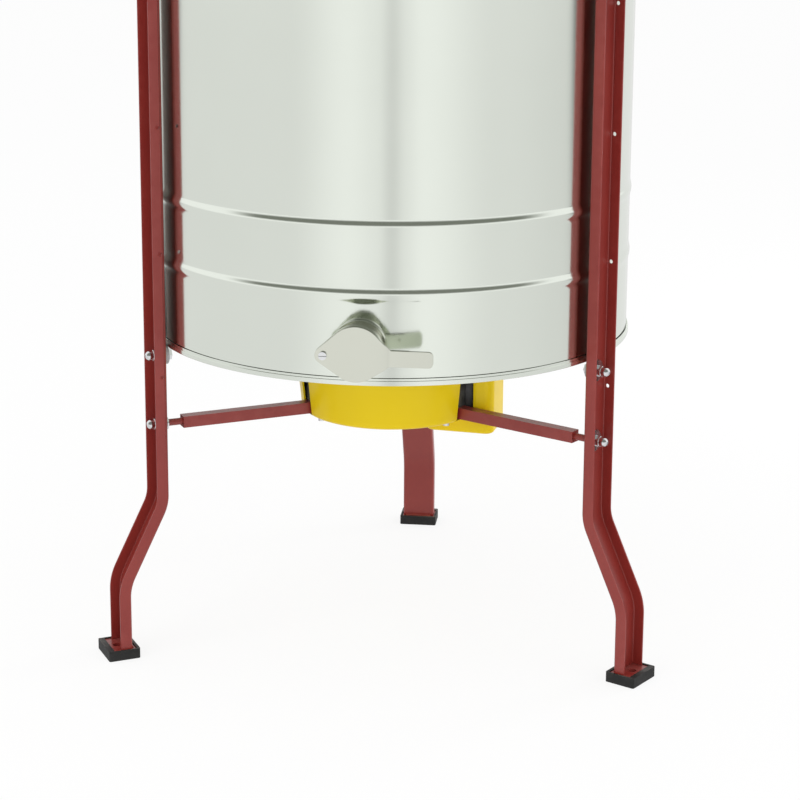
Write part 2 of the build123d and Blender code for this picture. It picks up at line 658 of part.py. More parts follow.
def flap_sheet():
    """Sheet of the flap before it is cut out: flat behind the disc, then bent back to the thinner tongue."""
    left = GATE_PIVOT_SIDE - 2 * GATE_EAR_RADIUS
    tongue_front = FLAP_TONGUE_SHEET - FLAP_STEP
    profile = [
        (left, 0.0), (FLAP_BEND_START, 0.0), (FLAP_BEND_END, -FLAP_STEP), (FLAP_TONGUE_END, -FLAP_STEP),
        (FLAP_TONGUE_END, tongue_front), (FLAP_BEND_END, tongue_front), (FLAP_BEND_START, FLAP_SHEET),
        (left, FLAP_SHEET),
    ]
    line = Polyline([(x, -GATE_FACE - FLAP_GAP - depth) for x, depth in profile], close=True)
    half = FLAP_RADIUS + CUT
    return Pos(0, 0, GATE_Z - half) * extrude(make_face(line), 2 * half)


def flap_outline():
    """Outline of the flap seen from the front: disc, pivot ear, neck and tongue."""
    width = FLAP_TONGUE_HIGH - FLAP_TONGUE_LOW
    middle = (FLAP_TONGUE_HIGH + FLAP_TONGUE_LOW) / 2
    tongue = RectangleRounded(FLAP_TONGUE_END, width, FLAP_TONGUE_CORNER)
    neck = (FLAP_NECK_SIDE, middle, width / 2)
    return gate_outline(FLAP_RADIUS, neck) + Pos(FLAP_TONGUE_END / 2, middle) * tongue


def make_flap_stop():
    """Peg behind the flap's tongue that meets the lower edge of the body's finger when the gate is shut."""
    height = GATE_Z + GATE_FINGER_RISE - GATE_FINGER_RADIUS - STOP_GAP - STOP_RADIUS
    root = GATE_FACE + FLAP_GAP - FLAP_STEP + CUT
    return spoke(STOP_RADIUS, GATE_FACE - STOP_REACH, root, height, STOP_SIDE)


def make_gate_flap():
    """Closing disc that turns on the pivot screw, with a thinner finger tongue and its stop."""
    front = GATE_FACE + FLAP_GAP + FLAP_SHEET
    depth = FLAP_SHEET + FLAP_STEP
    flap = flap_sheet() & gate_sketch_solid(flap_outline(), front + CUT, depth + 2 * CUT)
    bore = spoke(
        GATE_SCREW_RADIUS + RUNNING_GAP, front - 2 * FLAP_SHEET, front + CUT, PIVOT_Z, GATE_PIVOT_SIDE
    )
    return flap + make_flap_stop() - bore


# Legs and feet

def leg_outline(offset):
    """Edges of the leg seen from the side, offset outwards from the web's inside, from the top down."""
    lean = math.atan2(LEG_SPLAY, LEG_BEND_TOP - LEG_BEND_LOW)
    lift = offset * math.tan(lean / 2)
    points = [
        (LEG_WEB + offset, LEG_TOP),
        (LEG_WEB + offset, LEG_BEND_TOP + lift),
        (LEG_FOOT + offset, LEG_BEND_LOW + lift),
        (LEG_FOOT + offset, FOOT_TOP),
    ]
    return FilletPolyline(*points, radius=[LEG_BEND_RADIUS - offset, LEG_BEND_RADIUS + offset])


def leg_strip(inner, outer, half_width):
    """Solid between two offsets of the leg's outline."""
    first = leg_outline(inner)
    second = leg_outline(outer)
    edges = [*first.edges(), *second.edges(), Line(first @ 0, second @ 0), Line(first @ 1, second @ 1)]
    return extrude(SIDE_PLANE * make_face(edges), half_width, both=True)


def make_leg(extra_bolts=()):
    """Folded channel that opens outwards, splayed near the floor, with a row of holes in one flange."""
    bar = leg_strip(0.0, LEG_DEPTH, LEG_WIDTH / 2)
    folds = [
        edge for edge in bar.edges()
        if abs(edge.center().X) > LEG_WIDTH / 2 - FIT_GAP and is_web_edge(edge)
    ]
    bar = fillet(folds, LEG_CORNER)
    channel = leg_strip(LEG_SHEET, LEG_DEPTH + CUT, LEG_WIDTH / 2 - LEG_SHEET)
    plate = block(
        (-FOOT_PLATE_WIDTH / 2, FOOT_PLATE_WIDTH / 2),
        (PLATE_START, PLATE_START + FOOT_PLATE_LENGTH),
        (FOOT_FLOOR, FOOT_TOP),
    )
    reach = (LEG_WEB - LEG_DEPTH, LEG_WEB + LEG_DEPTH)
    cutters = [spoke(M8_HOLE, *reach, height) for height in (ARM_Z, SUPPORT_Z, TOP_BOLT_Z)]
    cutters += [spoke(M6_HOLE, *reach, height) for height in extra_bolts]
    cutters.append(disc(ANCHOR_HOLE, 0, 2 * FOOT_TOP, 0, -ANCHOR_RADIUS))
    for step in range(FLANGE_HOLE_COUNT):
        height = DRUM_BASE - FLANGE_HOLE_DROP + step * FLANGE_HOLE_PITCH
        hole = Rot(0, 90, 0) * Cylinder(FLANGE_HOLE_RADIUS, 4 * LEG_SHEET)
        cutters.append(Pos(LEG_WIDTH / 2, -LEG_WEB - FLANGE_HOLE_OFFSET, height) * hole)
    return without(bar - channel + plate, cutters)


def is_web_edge(edge):
    """True for an edge of the leg that runs along the inside face of its web."""
    middle = edge.center()
    if abs(middle.Z - LEG_TOP) < CUT or abs(middle.Z - FOOT_TOP) < CUT:
        return False
    web = SIDE_PLANE * leg_outline(0.0)
    return web.distance_to(Vector(0, middle.Y, middle.Z)) < LEG_SHEET


def make_foot():
    """Rubber cup around the foot plate, with the anchor hole through its floor."""
    start = LEG_FOOT - FOOT_BACK
    outline = Pos(0, -(start + FOOT_LENGTH / 2)) * RectangleRounded(FOOT_WIDTH, FOOT_LENGTH, FOOT_CORNER)
    outside = extrude(outline, FOOT_HEIGHT)
    half = FOOT_PLATE_WIDTH / 2 + FIT_GAP
    pocket = block(
        (-half, half),
        (PLATE_START - FIT_GAP, PLATE_START + FOOT_PLATE_LENGTH + FIT_GAP),
        (FOOT_FLOOR, FOOT_HEIGHT + CUT),
    )
    return outside - pocket - disc(ANCHOR_HOLE, -CUT, FOOT_HEIGHT, 0, -ANCHOR_RADIUS)


def make_leg_bolt(seat, height):
    """M8 bolt that points outwards, its head against a face at the given radius."""
    bolt = spoke(M8_RADIUS, seat, seat + M8_LENGTH, height)
    return bolt + spoke_hex(M8_ACROSS, seat - M8_HEAD, seat, height)


def make_washer(height):
    """Broad washer against the outside of the web."""
    washer = spoke(WASHER_RADIUS, LEG_OUTSIDE, LEG_OUTSIDE + WASHER_SHEET, height)
    return washer - spoke(M8_HOLE, LEG_OUTSIDE - CUT, LEG_OUTSIDE + WASHER_SHEET + CUT, height)


def make_acorn_nut(height):
    """Domed M8 nut on the washer."""
    seat = LEG_OUTSIDE + WASHER_SHEET
    shoulder = seat + ACORN_BASE
    dome_centre = shoulder + ACORN_NECK
    nut = spoke_hex(M8_ACROSS, seat, shoulder, height)
    nut += spoke(ACORN_DOME, shoulder, dome_centre, height)
    nut += Pos(0, -dome_centre, height) * Sphere(ACORN_DOME)
    return nut - spoke(M8_RADIUS + FIT_GAP / 2, seat - CUT, seat + ACORN_BORE_DEPTH, height)


def make_support_bush():
    """Bush on the upper bolt, under the drum seam."""
    start = LEG_WEB - FIT_GAP - SUPPORT_BUSH_LENGTH
    end = LEG_WEB - FIT_GAP / 2
    bush = spoke(SUPPORT_DROP - FIT_GAP / 2, start, end, SUPPORT_Z)
    return bush - spoke(M8_RADIUS + FIT_GAP / 2, start - CUT, end + CUT, SUPPORT_Z)


def make_top_spacer():
    """Spacer between the drum wall and a leg."""
    start = DRUM_RADIUS + FIT_GAP
    spacer = spoke(SPACER_RADIUS, start - CUT, LEG_WEB, TOP_BOLT_Z)
    spacer -= spoke(M8_RADIUS + FIT_GAP / 2, start - 2 * CUT, LEG_WEB + CUT, TOP_BOLT_Z)
    reach = 2 * SPACER_RADIUS
    return spacer - disc(start, TOP_BOLT_Z - reach, TOP_BOLT_Z + reach)


# Arms and hub

def make_arm():
    """Square tube under the drum with a closed outer end and a threaded stud."""
    half = ARM_SIZE / 2
    bore = half - ARM_WALL
    arm = block((-half, half), (ARM_START, ARM_END), (ARM_BOTTOM, ARM_TOP))
    arm -= block((-bore, bore), (ARM_START - CUT, ARM_END - ARM_CAP), (ARM_Z - bore, ARM_Z + bore))
    arm += spoke(STUD_RADIUS, ARM_END - CUT, ARM_END + STUD_LENGTH, ARM_Z)
    arm += spoke(M8_RADIUS, ARM_END, LEG_OUTSIDE + WASHER_SHEET + ACORN_BORE_DEPTH - CUT, ARM_Z)
    return without(arm, [disc(M6_HOLE, ARM_Z, ARM_TOP + CUT, 0, -distance) for distance in ARM_BOLTS])


def make_arm_nut():
    """Collar nut between an arm's stud and the leg web."""
    start = ARM_END + STUD_LENGTH
    nut = spoke(COLLAR_RADIUS, start, start + COLLAR, ARM_Z)
    nut += spoke_hex(M8_ACROSS, start + COLLAR, LEG_WEB - FIT_GAP, ARM_Z)
    return nut - spoke(M8_RADIUS + FIT_GAP / 2, start - CUT, LEG_WEB + CUT, ARM_Z)


def make_hub_dish():
    """Plate on the three arms with a rim, open around the motor."""
    dish = disc(DISH_RADIUS, ARM_TOP, DISH_TOP)
    dish += ring(DISH_RADIUS, DISH_RADIUS - DISH_RIM, DISH_TOP - DISH_PLATE / 2, DISH_TOP + DISH_RIM_RISE)
    bottom, top = ARM_TOP - CUT, DISH_TOP + 2 * DISH_RIM_RISE
    cutters = [
        disc(DISH_BORE, bottom, top),
        MOTOR_TURN * disc(MOTOR_RADIUS + MOTOR_HOLE_GAP, bottom, top, 0, -MOTOR_DISTANCE),
    ]
    for distance in ARM_BOLTS:
        cutters += at_legs(disc(M6_HOLE, bottom, DISH_TOP + CUT, 0, -distance))
    for x, y in circle_points(HOUSING_BOLTS, HOUSING_BOLT_CIRCLE, SCREW_CIRCLE_START):
        cutters.append(disc(M6_HOLE, bottom, DISH_TOP + CUT, x, y))
    for side in (-BRACKET_BOLT_SIDE, BRACKET_BOLT_SIDE):
        cutters.append(MOTOR_TURN * disc(M6_HOLE, bottom, DISH_TOP + CUT, side, -BRACKET_BOLT_DISTANCE))
    for angle in COVER_SCREW_ANGLES:
        hole = disc(COVER_SCREW_HOLE, bottom, DISH_TOP + CUT, 0, -COVER_SCREW_CIRCLE)
        cutters.append(Rot(0, 0, angle) * hole)
    return without(dish, cutters)


# Shaft and bearings

def make_bearing_housing(seat):
    """Flanged housing that stands on a plate and holds a bearing at its top."""
    top = seat + HOUSING_HEIGHT
    housing = disc(HOUSING_FLANGE_RADIUS, seat, seat + HOUSING_FLANGE) + disc(HOUSING_RADIUS, seat, top)
    cutters = [
        disc(SHAFT_RADIUS + HOUSING_SHAFT_GAP, seat - CUT, top + CUT),
        disc(BEARING_RADIUS + FIT_GAP / 2, top - BEARING_WIDTH, top + CUT),
    ]
    for x, y in circle_points(HOUSING_BOLTS, HOUSING_BOLT_CIRCLE, SCREW_CIRCLE_START):
        cutters.append(disc(M6_HOLE, seat - CUT, seat + HOUSING_FLANGE + CUT, x, y))
    for x, y in circle_points(CAP_SCREWS, CAP_SCREW_CIRCLE):
        cutters.append(disc(M4_HOLE, top - M4_LENGTH, top + CUT, x, y))
    return without(housing, cutters)


def make_outer_race(top):
    """Bearing outer ring with its two shields."""
    bottom = top - BEARING_WIDTH
    shield_bore = INNER_RACE_RADIUS + SLIDING_GAP
    return turned([
        (BEARING_RADIUS, bottom), (BEARING_RADIUS, top), (shield_bore, top), (shield_bore, top - SHIELD),
        (OUTER_RACE_BORE, top - SHIELD), (OUTER_RACE_BORE, bottom + SHIELD),
        (shield_bore, bottom + SHIELD), (shield_bore, bottom),
    ])


def make_inner_race(top):
    """Bearing inner ring on a shaft journal."""
    return ring(INNER_RACE_RADIUS, JOURNAL_RADIUS, top - BEARING_WIDTH, top)


def make_bearing_cap():
    """Cap with a dome over the upper bearing."""
    seat = UPPER_HOUSING_TOP
    top = seat + CAP_SHEET + CAP_DOME
    cap = turned([
        (0, top), (CAP_DOME_RADIUS - CAP_DOME / 2, top), (CAP_DOME_RADIUS, seat + CAP_SHEET),
        (HOUSING_RADIUS, seat + CAP_SHEET), (HOUSING_RADIUS, seat),
        (CAP_DOME_RADIUS - CAP_SHEET, seat), (CAP_DOME_RADIUS - CAP_SHEET, seat + CAP_SHEET),
        (0, seat + CAP_SHEET),
    ])
    holes = circle_points(CAP_SCREWS, CAP_SCREW_CIRCLE)
    return without(cap, [disc(M4_HOLE, seat - CUT, top, x, y) for x, y in holes])


def make_basket_shaft():
    """Stepped shaft between the two bearings, with a shoulder against each inner ring."""
    end = SHIELD
    shoulder = JOURNAL_RADIUS + SHOULDER_STEP
    foot = DISH_TOP + HOUSING_FLANGE
    upper_seat = UPPER_HOUSING_TOP - BEARING_WIDTH
    return turned([
        (0, foot), (JOURNAL_RADIUS - end, foot), (JOURNAL_RADIUS, foot + end), (JOURNAL_RADIUS, HOUSING_TOP),
        (shoulder, HOUSING_TOP), (shoulder, HOUSING_TOP + SHOULDER_RISE),
        (SHAFT_RADIUS, HOUSING_TOP + SHOULDER_RISE), (SHAFT_RADIUS, upper_seat - SHOULDER_RISE),
        (shoulder, upper_seat - SHOULDER_RISE), (shoulder, upper_seat),
        (JOURNAL_RADIUS, upper_seat), (JOURNAL_RADIUS, UPPER_HOUSING_TOP - end),
        (JOURNAL_RADIUS - end, UPPER_HOUSING_TOP), (0, UPPER_HOUSING_TOP),
    ])


def make_shaft_seal():
    """Lip seal in the drum neck."""
    return ring(NECK_RADIUS - FIT_GAP / 2, SHAFT_RADIUS + RUNNING_GAP, NECK_TOP - SHAFT_SEAL_WIDTH, NECK_TOP)


# Motor and belt drive

def motor_screw_points():
    """Motor screws in the motor's own frame."""
    places = circle_points(MOTOR_SCREWS, MOTOR_SCREW_CIRCLE, SCREW_CIRCLE_START)
    return [(x, y - MOTOR_DISTANCE) for x, y in places]


def make_motor_casing():
    """Motor can with end bells, hollow for the armature."""
    inner = MOTOR_RADIUS - MOTOR_WALL
    bore = MOTOR_SHAFT_RADIUS + RUNNING_GAP
    chamfer_radius = MOTOR_RADIUS - MOTOR_CHAMFER
    casing = turned([
        (0, MOTOR_BOTTOM), (chamfer_radius, MOTOR_BOTTOM), (MOTOR_RADIUS, MOTOR_BOTTOM + MOTOR_CHAMFER),
        (MOTOR_RADIUS, MOTOR_TOP - MOTOR_CHAMFER), (chamfer_radius, MOTOR_TOP), (bore, MOTOR_TOP),
        (bore, MOTOR_TOP - MOTOR_END), (inner, MOTOR_TOP - MOTOR_END), (inner, MOTOR_BOTTOM + MOTOR_END),
        (bore, MOTOR_BOTTOM + MOTOR_END), (bore, MOTOR_BOTTOM + MOTOR_END / 2),
        (0, MOTOR_BOTTOM + MOTOR_END / 2),
    ])
    casing = Pos(0, -MOTOR_DISTANCE, 0) * casing
    holes = [disc(M4_HOLE, MOTOR_TOP - M4_LENGTH / 2, MOTOR_TOP + CUT, x, y) for x, y in motor_screw_points()]
    return MOTOR_TURN * without(casing, holes)


def make_motor_armature():
    """Motor shaft with its wound core."""
    core = MOTOR_RADIUS - MOTOR_WALL - ARMATURE_GAP
    start = MOTOR_BOTTOM + MOTOR_END / 2 + SLIDING_GAP
    core_range = (MOTOR_BOTTOM + MOTOR_END + ARMATURE_GAP, MOTOR_TOP - MOTOR_END - ARMATURE_GAP)
    shaft = disc(MOTOR_SHAFT_RADIUS, start, PULLEY_TOP + CUT, 0, -MOTOR_DISTANCE)
    return MOTOR_TURN * (shaft + disc(core, *core_range, 0, -MOTOR_DISTANCE))


def make_motor_bracket():
    """Stepped bracket: a foot on the hub dish, an upright and a plate that carries the motor from above."""
    plate_top = MOTOR_TOP + BRACKET_PLATE
    foot_top = DISH_TOP + BRACKET_PLATE
    web_end = BRACKET_WEB + BRACKET_PLATE
    foot_half, half = BRACKET_FOOT_HALF_WIDTH, BRACKET_HALF_WIDTH
    bracket = block((-half, half), (BRACKET_WEB, MOTOR_DISTANCE + half), (MOTOR_TOP, plate_top))
    bracket += block((-foot_half, foot_half), (BRACKET_WEB, web_end), (DISH_TOP, plate_top))
    foot_start = BRACKET_WEB - BRACKET_FOOT_LENGTH
    bracket += block((-foot_half, foot_half), (foot_start, web_end), (DISH_TOP, foot_top))
    cutters = [disc(BRACKET_PILOT, MOTOR_TOP - CUT, plate_top + CUT, 0, -MOTOR_DISTANCE)]
    cutters += [disc(M4_HOLE, MOTOR_TOP - CUT, plate_top + CUT, x, y) for x, y in motor_screw_points()]
    for side in (-BRACKET_BOLT_SIDE, BRACKET_BOLT_SIDE):
        cutters.append(disc(M6_HOLE, DISH_TOP - CUT, foot_top + CUT, side, -BRACKET_BOLT_DISTANCE))
    return MOTOR_TURN * without(bracket, cutters)


def make_pulley(radius):
    """Solid flat-belt pulley with two flanges, about the drum axis."""
    rim = radius + PULLEY_FLANGE_RISE
    return turned([
        (0, PULLEY_BOTTOM), (rim, PULLEY_BOTTOM), (rim, PULLEY_BOTTOM + PULLEY_FLANGE),
        (radius, PULLEY_BOTTOM + PULLEY_FLANGE), (radius, PULLEY_TOP - PULLEY_FLANGE),
        (rim, PULLEY_TOP - PULLEY_FLANGE), (rim, PULLEY_TOP), (0, PULLEY_TOP),
    ])


def make_driven_pulley():
    """Large pulley on the basket shaft, with a web and lightening holes."""
    middle = (PULLEY_BOTTOM + PULLEY_TOP) / 2
    web = (middle - PULLEY_WEB / 2, middle + PULLEY_WEB / 2)
    rim_bore = DRIVEN_RADIUS - PULLEY_RIM
    low, high = PULLEY_BOTTOM - PULLEY_HUB_OVERHANG, PULLEY_TOP + PULLEY_HUB_OVERHANG
    pulley = make_pulley(DRIVEN_RADIUS)
    pulley -= disc(rim_bore, PULLEY_BOTTOM - CUT, web[0])
    pulley -= disc(rim_bore, web[1], PULLEY_TOP + CUT)
    pulley += disc(PULLEY_HUB_RADIUS, low, high)
    pulley -= disc(SHAFT_RADIUS, low - CUT, high + CUT)
    holes = circle_points(PULLEY_HOLES, (rim_bore + PULLEY_HUB_RADIUS) / 2)
    return without(pulley, [disc(PULLEY_HOLE_RADIUS, low, high, x, y) for x, y in holes])


def make_motor_pulley():
    """Small pulley on the motor shaft."""
    pulley = make_pulley(DRIVER_RADIUS) - disc(MOTOR_SHAFT_RADIUS, PULLEY_BOTTOM - CUT, PULLEY_TOP + CUT)
    return MOTOR_TURN * Pos(0, -MOTOR_DISTANCE, 0) * pulley


def make_drive_belt():
    """Flat belt around both pulleys."""
    def loop(grow):
        return hull_of((0, 0, DRIVEN_RADIUS + grow), (0, -MOTOR_DISTANCE, DRIVER_RADIUS + grow))

    sketch = loop(BELT_GAP + BELT_SHEET) - loop(BELT_GAP)
    return MOTOR_TURN * extrude(Pos(0, 0, BELT_BOTTOM) * sketch, BELT_WIDTH)


# Covers

def cover_cone(inset, bottom, top):
    """Solid drafted cone of the drive cover's outside, moved inwards by the inset."""
    slope = math.tan(math.radians(COVER_DRAFT))
    low = COVER_RADIUS - inset + slope * (bottom - COVER_BOTTOM)
    high = COVER_RADIUS - inset + slope * (top - COVER_BOTTOM)
    return turned([(0, bottom), (low, bottom), (high, top), (0, top)])


def lowest_edge(solid):
    """The round edge around a solid's floor."""
    return solid.edges().filter_by(GeomType.CIRCLE).sort_by(Axis.Z)[0]


def arm_slots():
    """Cutting shapes around the arms, from the cover floor up."""
    slot = block(
        (-COVER_SLOT_HALF, COVER_SLOT_HALF), (ARM_START, 2 * COVER_RADIUS), (COVER_FLOOR_TOP, COVER_TOP + CUT)
    )
    return at_legs(slot)


def tab_screw_places():
    """Screws of the motor cover's tab, as (x, y) in the motor's frame."""
    return [(side, -(BOX_START - TAB_LENGTH / 2)) for side in TAB_SCREWS]


def make_drive_cover():
    """Drafted pan under the belt drive, slotted for the arms and open towards the motor cover."""
    pan = cover_cone(0.0, COVER_BOTTOM, COVER_TOP)
    pan = fillet(lowest_edge(pan), COVER_EDGE)
    hollow = cover_cone(COVER_WALL, COVER_FLOOR_TOP, COVER_TOP + CUT)
    pan -= fillet(lowest_edge(hollow), COVER_EDGE - COVER_WALL)
    wide = BOX_HALF_WIDTH + COVER_SEAM
    pan -= MOTOR_TURN * block(
        (-wide, wide), (BOX_START - COVER_SEAM, 2 * COVER_RADIUS), (COVER_BOTTOM - CUT, COVER_TOP + CUT)
    )
    pan = without(pan, arm_slots())
    for angle in COVER_SCREW_ANGLES:
        boss = disc(COVER_BOSS_RADIUS, COVER_FLOOR_TOP - COVER_WALL / 2, ARM_TOP, 0, -COVER_SCREW_CIRCLE)
        hole = disc(COVER_SCREW_HOLE, COVER_BOTTOM - CUT, ARM_TOP + CUT, 0, -COVER_SCREW_CIRCLE)
        pan += Rot(0, 0, angle) * boss
        pan -= Rot(0, 0, angle) * hole
    for x, y in tab_screw_places():
        boss_top = COVER_FLOOR_TOP + COVER_WALL
        pan += MOTOR_TURN * disc(COVER_BOSS_RADIUS, COVER_BOTTOM + COVER_WALL / 2, boss_top, x, y)
        pan -= MOTOR_TURN * disc(M4_HOLE, COVER_BOTTOM - CUT, boss_top + CUT, x, y)
    return pan


def make_motor_cover():
    """Square cup around the motor; above the drive cover's floor it joins that cover's wall."""
    middle = Pos(0, -(BOX_START + BOX_LENGTH / 2), BOX_BOTTOM)
    height = COVER_TOP - BOX_BOTTOM
    cup = middle * extrude(RectangleRounded(2 * BOX_HALF_WIDTH, BOX_LENGTH, BOX_CORNER), height)
    cup = fillet(cup.faces().sort_by(Axis.Z)[0].edges(), BOX_EDGE)
    inside = RectangleRounded(
        2 * (BOX_HALF_WIDTH - COVER_WALL), BOX_LENGTH - 2 * COVER_WALL, BOX_CORNER - COVER_WALL
    )
    cup -= Pos(0, 0, COVER_WALL) * middle * extrude(inside, height)
    cup = MOTOR_TURN * cup - cover_cone(COVER_WALL, COVER_FLOOR_TOP, COVER_TOP + CUT)
    cup = without(cup, arm_slots())
    tab_reach = (BOX_START - TAB_LENGTH, BOX_START + COVER_WALL)
    tab = block(TAB_SIDES, tab_reach, (COVER_BOTTOM - COVER_WALL, COVER_BOTTOM))
    tab = without(tab, [disc(M4_HOLE, BOX_BOTTOM, COVER_FLOOR_TOP, x, y) for x, y in tab_screw_places()])
    return cup + MOTOR_TURN * tab


def make_cover_screw():
    """Long screw that holds the drive cover up to the hub dish."""
    y = -COVER_SCREW_CIRCLE
    screw = disc(COVER_SCREW_RADIUS, COVER_BOTTOM, DISH_TOP, 0, y)
    return screw + disc(COVER_SCREW_HEAD_RADIUS, COVER_BOTTOM - COVER_SCREW_HEAD, COVER_BOTTOM, 0, y)


# Basket

def upright_places():
    """Uprights between the frame places, as (x, y)."""
    return circle_points(FRAME_PLACES, BASKET_RADIUS - UPRIGHT_INSET, 180 / FRAME_PLACES)


def hub_bolt_places():
    """Basket hub bolts, as (x, y), between the core holes."""
    return circle_points(HUB_BOLTS, HUB_BOLT_CIRCLE, 180 / HUB_BOLTS)


def make_basket_disc(radius, bottom):
    """Middle plate of the basket around the shaft."""
    return ring(radius, SHAFT_RADIUS + FIT_GAP, bottom, bottom + COMB_SHEET)


def make_basket_discs():
    """Floor disc, lower comb disc and upper comb disc; the first and last are bolted to a hub."""
    discs = []
    for radius, bottom, bolted in (
        (FLOOR_DISC_RADIUS, FLOOR_BOTTOM, True),
        (COMB_DISC_RADIUS, LOWER_COMB, False),
        (COMB_DISC_RADIUS, UPPER_COMB, True),
    ):
        places = hub_bolt_places() if bolted else []
        holes = [disc(M6_HOLE, bottom - CUT, bottom + COMB_SHEET + CUT, x, y) for x, y in places]
        discs.append(without(make_basket_disc(radius, bottom), holes))
    return discs


def make_basket_bands():
    """Outer rings at the floor and at both combs; the uprights pass through the middle one."""
    floor_band = ring(BASKET_RADIUS, FLOOR_BAND_INNER, FLOOR_BOTTOM, FLOOR_TOP)
    lower_band = ring(BASKET_RADIUS, BAND_INNER, LOWER_COMB, LOWER_COMB + COMB_SHEET)
    upper_band = ring(BASKET_RADIUS, BAND_INNER, UPPER_COMB, UPPER_COMB + COMB_SHEET)
    hole = UPRIGHT_RADIUS + FIT_GAP / 2
    holes = [disc(hole, LOWER_COMB - CUT, LOWER_COMB + COMB_SHEET + CUT, x, y) for x, y in upright_places()]
    return [floor_band, without(lower_band, holes), upper_band]


def make_basket_bars():
    """Spokes under the floor, and a pair of guide bars beside each frame on both combs."""
    spoke_bar = block(
        (-SPOKE_WIDTH / 2, SPOKE_WIDTH / 2),
        (FLOOR_DISC_RADIUS - SPOKE_LAP, FLOOR_BAND_INNER + SPOKE_LAP),
        (FLOOR_BOTTOM - SPOKE_HEIGHT, FLOOR_BOTTOM),
    )
    bars = around(spoke_bar, SPOKES, 180 / FRAME_PLACES)
    near, far = FRAME_SLOT / 2, FRAME_SLOT / 2 + GUIDE_WIDTH
    reach = (COMB_DISC_RADIUS - GUIDE_LAP, BAND_INNER + GUIDE_LAP)
    for comb in (LOWER_COMB, UPPER_COMB):
        seat = comb + COMB_SHEET
        for sides in ((-far, -near), (near, far)):
            bars += around(block(sides, reach, (seat, seat + GUIDE_HEIGHT)), FRAME_PLACES)
    return bars


def make_basket_hub(seat):
    """Flanged hub that stands on a basket plate."""
    top = seat + BASKET_HUB_HEIGHT
    hub = disc(BASKET_HUB_RADIUS, seat, seat + BASKET_HUB_FLANGE) + disc(BASKET_BOSS_RADIUS, seat, top)
    hub -= disc(SHAFT_RADIUS, seat - CUT, top + CUT)
    holes = [disc(M6_HOLE, seat - CUT, top, x, y) for x, y in hub_bolt_places()]
    return without(hub, holes)


# Bridge and lids

def make_bridge():
    """Folded bridge across the drum, with a tab down each end."""
    half = BRIDGE_HALF_WIDTH
    end = BRIDGE_END + BRIDGE_SHEET
    bridge = block((-end, end), (-half, half), (BRIDGE_BOTTOM, BRIDGE_TOP))
    bridge -= block(
        (-end - CUT, end + CUT),
        (-half + BRIDGE_SHEET, half - BRIDGE_SHEET),
        (BRIDGE_BOTTOM - CUT, BRIDGE_TOP - BRIDGE_SHEET),
    )
    tab = block(
        (-BRIDGE_TAB_HALF, BRIDGE_TAB_HALF), (BRIDGE_END, end), (DRUM_TOP - BRIDGE_TAB_DROP, BRIDGE_TOP)
    )
    bridge += Rot(0, 0, 90) * tab
    bridge += Rot(0, 0, -90) * tab
    cutters = [disc(SHAFT_RADIUS + BRIDGE_SHAFT_GAP, BRIDGE_BOTTOM, BRIDGE_TOP + CUT)]
    for x, y in circle_points(HOUSING_BOLTS, HOUSING_BOLT_CIRCLE, SCREW_CIRCLE_START):
        cutters.append(disc(M6_HOLE, BRIDGE_BOTTOM, BRIDGE_TOP + CUT, x, y))
    for turn, side in bridge_bolt_places():
        hole = spoke(M6_HOLE, DRUM_RADIUS, end + CUT, DRUM_TOP - BRIDGE_BOLT_DROP, side)
        cutters.append(Rot(0, 0, turn) * hole)
    return without(bridge, cutters)


def along_x(radius, x_range):
    """Cylinder along X about the front lid's hinge axis."""
    middle = Pos(sum(x_range) / 2, -HINGE_Y, HINGE_Z)
    return middle * Rot(0, 90, 0) * Cylinder(radius, x_range[1] - x_range[0])


def make_hinge_leaf(middle):
    """Fixed half of one front hinge: a leaf on the bridge side with the middle knuckle."""
    half = HINGE_HALF_WIDTH
    knuckle = (middle - HINGE_KNUCKLE_HALF, middle + HINGE_KNUCKLE_HALF)
    leaf = block(
        (middle - half, middle + half),
        (BRIDGE_HALF_WIDTH, BRIDGE_HALF_WIDTH + HINGE_LEAF),
        (LID_TOP, BRIDGE_TOP - BRIDGE_SHEET),
    )
    leaf += along_x(HINGE_BARREL_RADIUS, knuckle)
    leaf += block(knuckle, (BRIDGE_HALF_WIDTH, HINGE_Y), (HINGE_Z - HINGE_LEAF / 2, HINGE_Z + HINGE_LEAF / 2))
    return leaf - along_x(HINGE_PIN_RADIUS + FIT_GAP / 2, (knuckle[0] - CUT, knuckle[1] + CUT))


def make_lid_hinge(middle):
    """Moving half of one front hinge: a leaf on the lid with the two outer knuckles."""
    half = HINGE_HALF_WIDTH
    width = (middle - half, middle + half)
    leaf = block(width, (HINGE_Y, HINGE_Y + HINGE_LEAF_LENGTH), (LID_TOP, LID_TOP + HINGE_LEAF))
    leaf += along_x(HINGE_BARREL_RADIUS, width)
    gap = HINGE_KNUCKLE_HALF + SLIDING_GAP
    clear = HINGE_BARREL_RADIUS + SLIDING_GAP
    leaf -= along_x(clear, (middle - gap, middle + gap))
    return leaf - along_x(HINGE_PIN_RADIUS + RUNNING_GAP, (middle - half - CUT, middle + half + CUT))


def make_lid():
    """Clear half lid in front of the bridge, cut under the hinge axis so that its edge lifts off the rim."""
    lid = disc(LID_RADIUS, LID_BOTTOM, LID_TOP)
    reach = 2 * LID_RADIUS
    return lid - block((-reach, reach), (-reach, HINGE_Y), (LID_BOTTOM - CUT, LID_TOP + CUT))


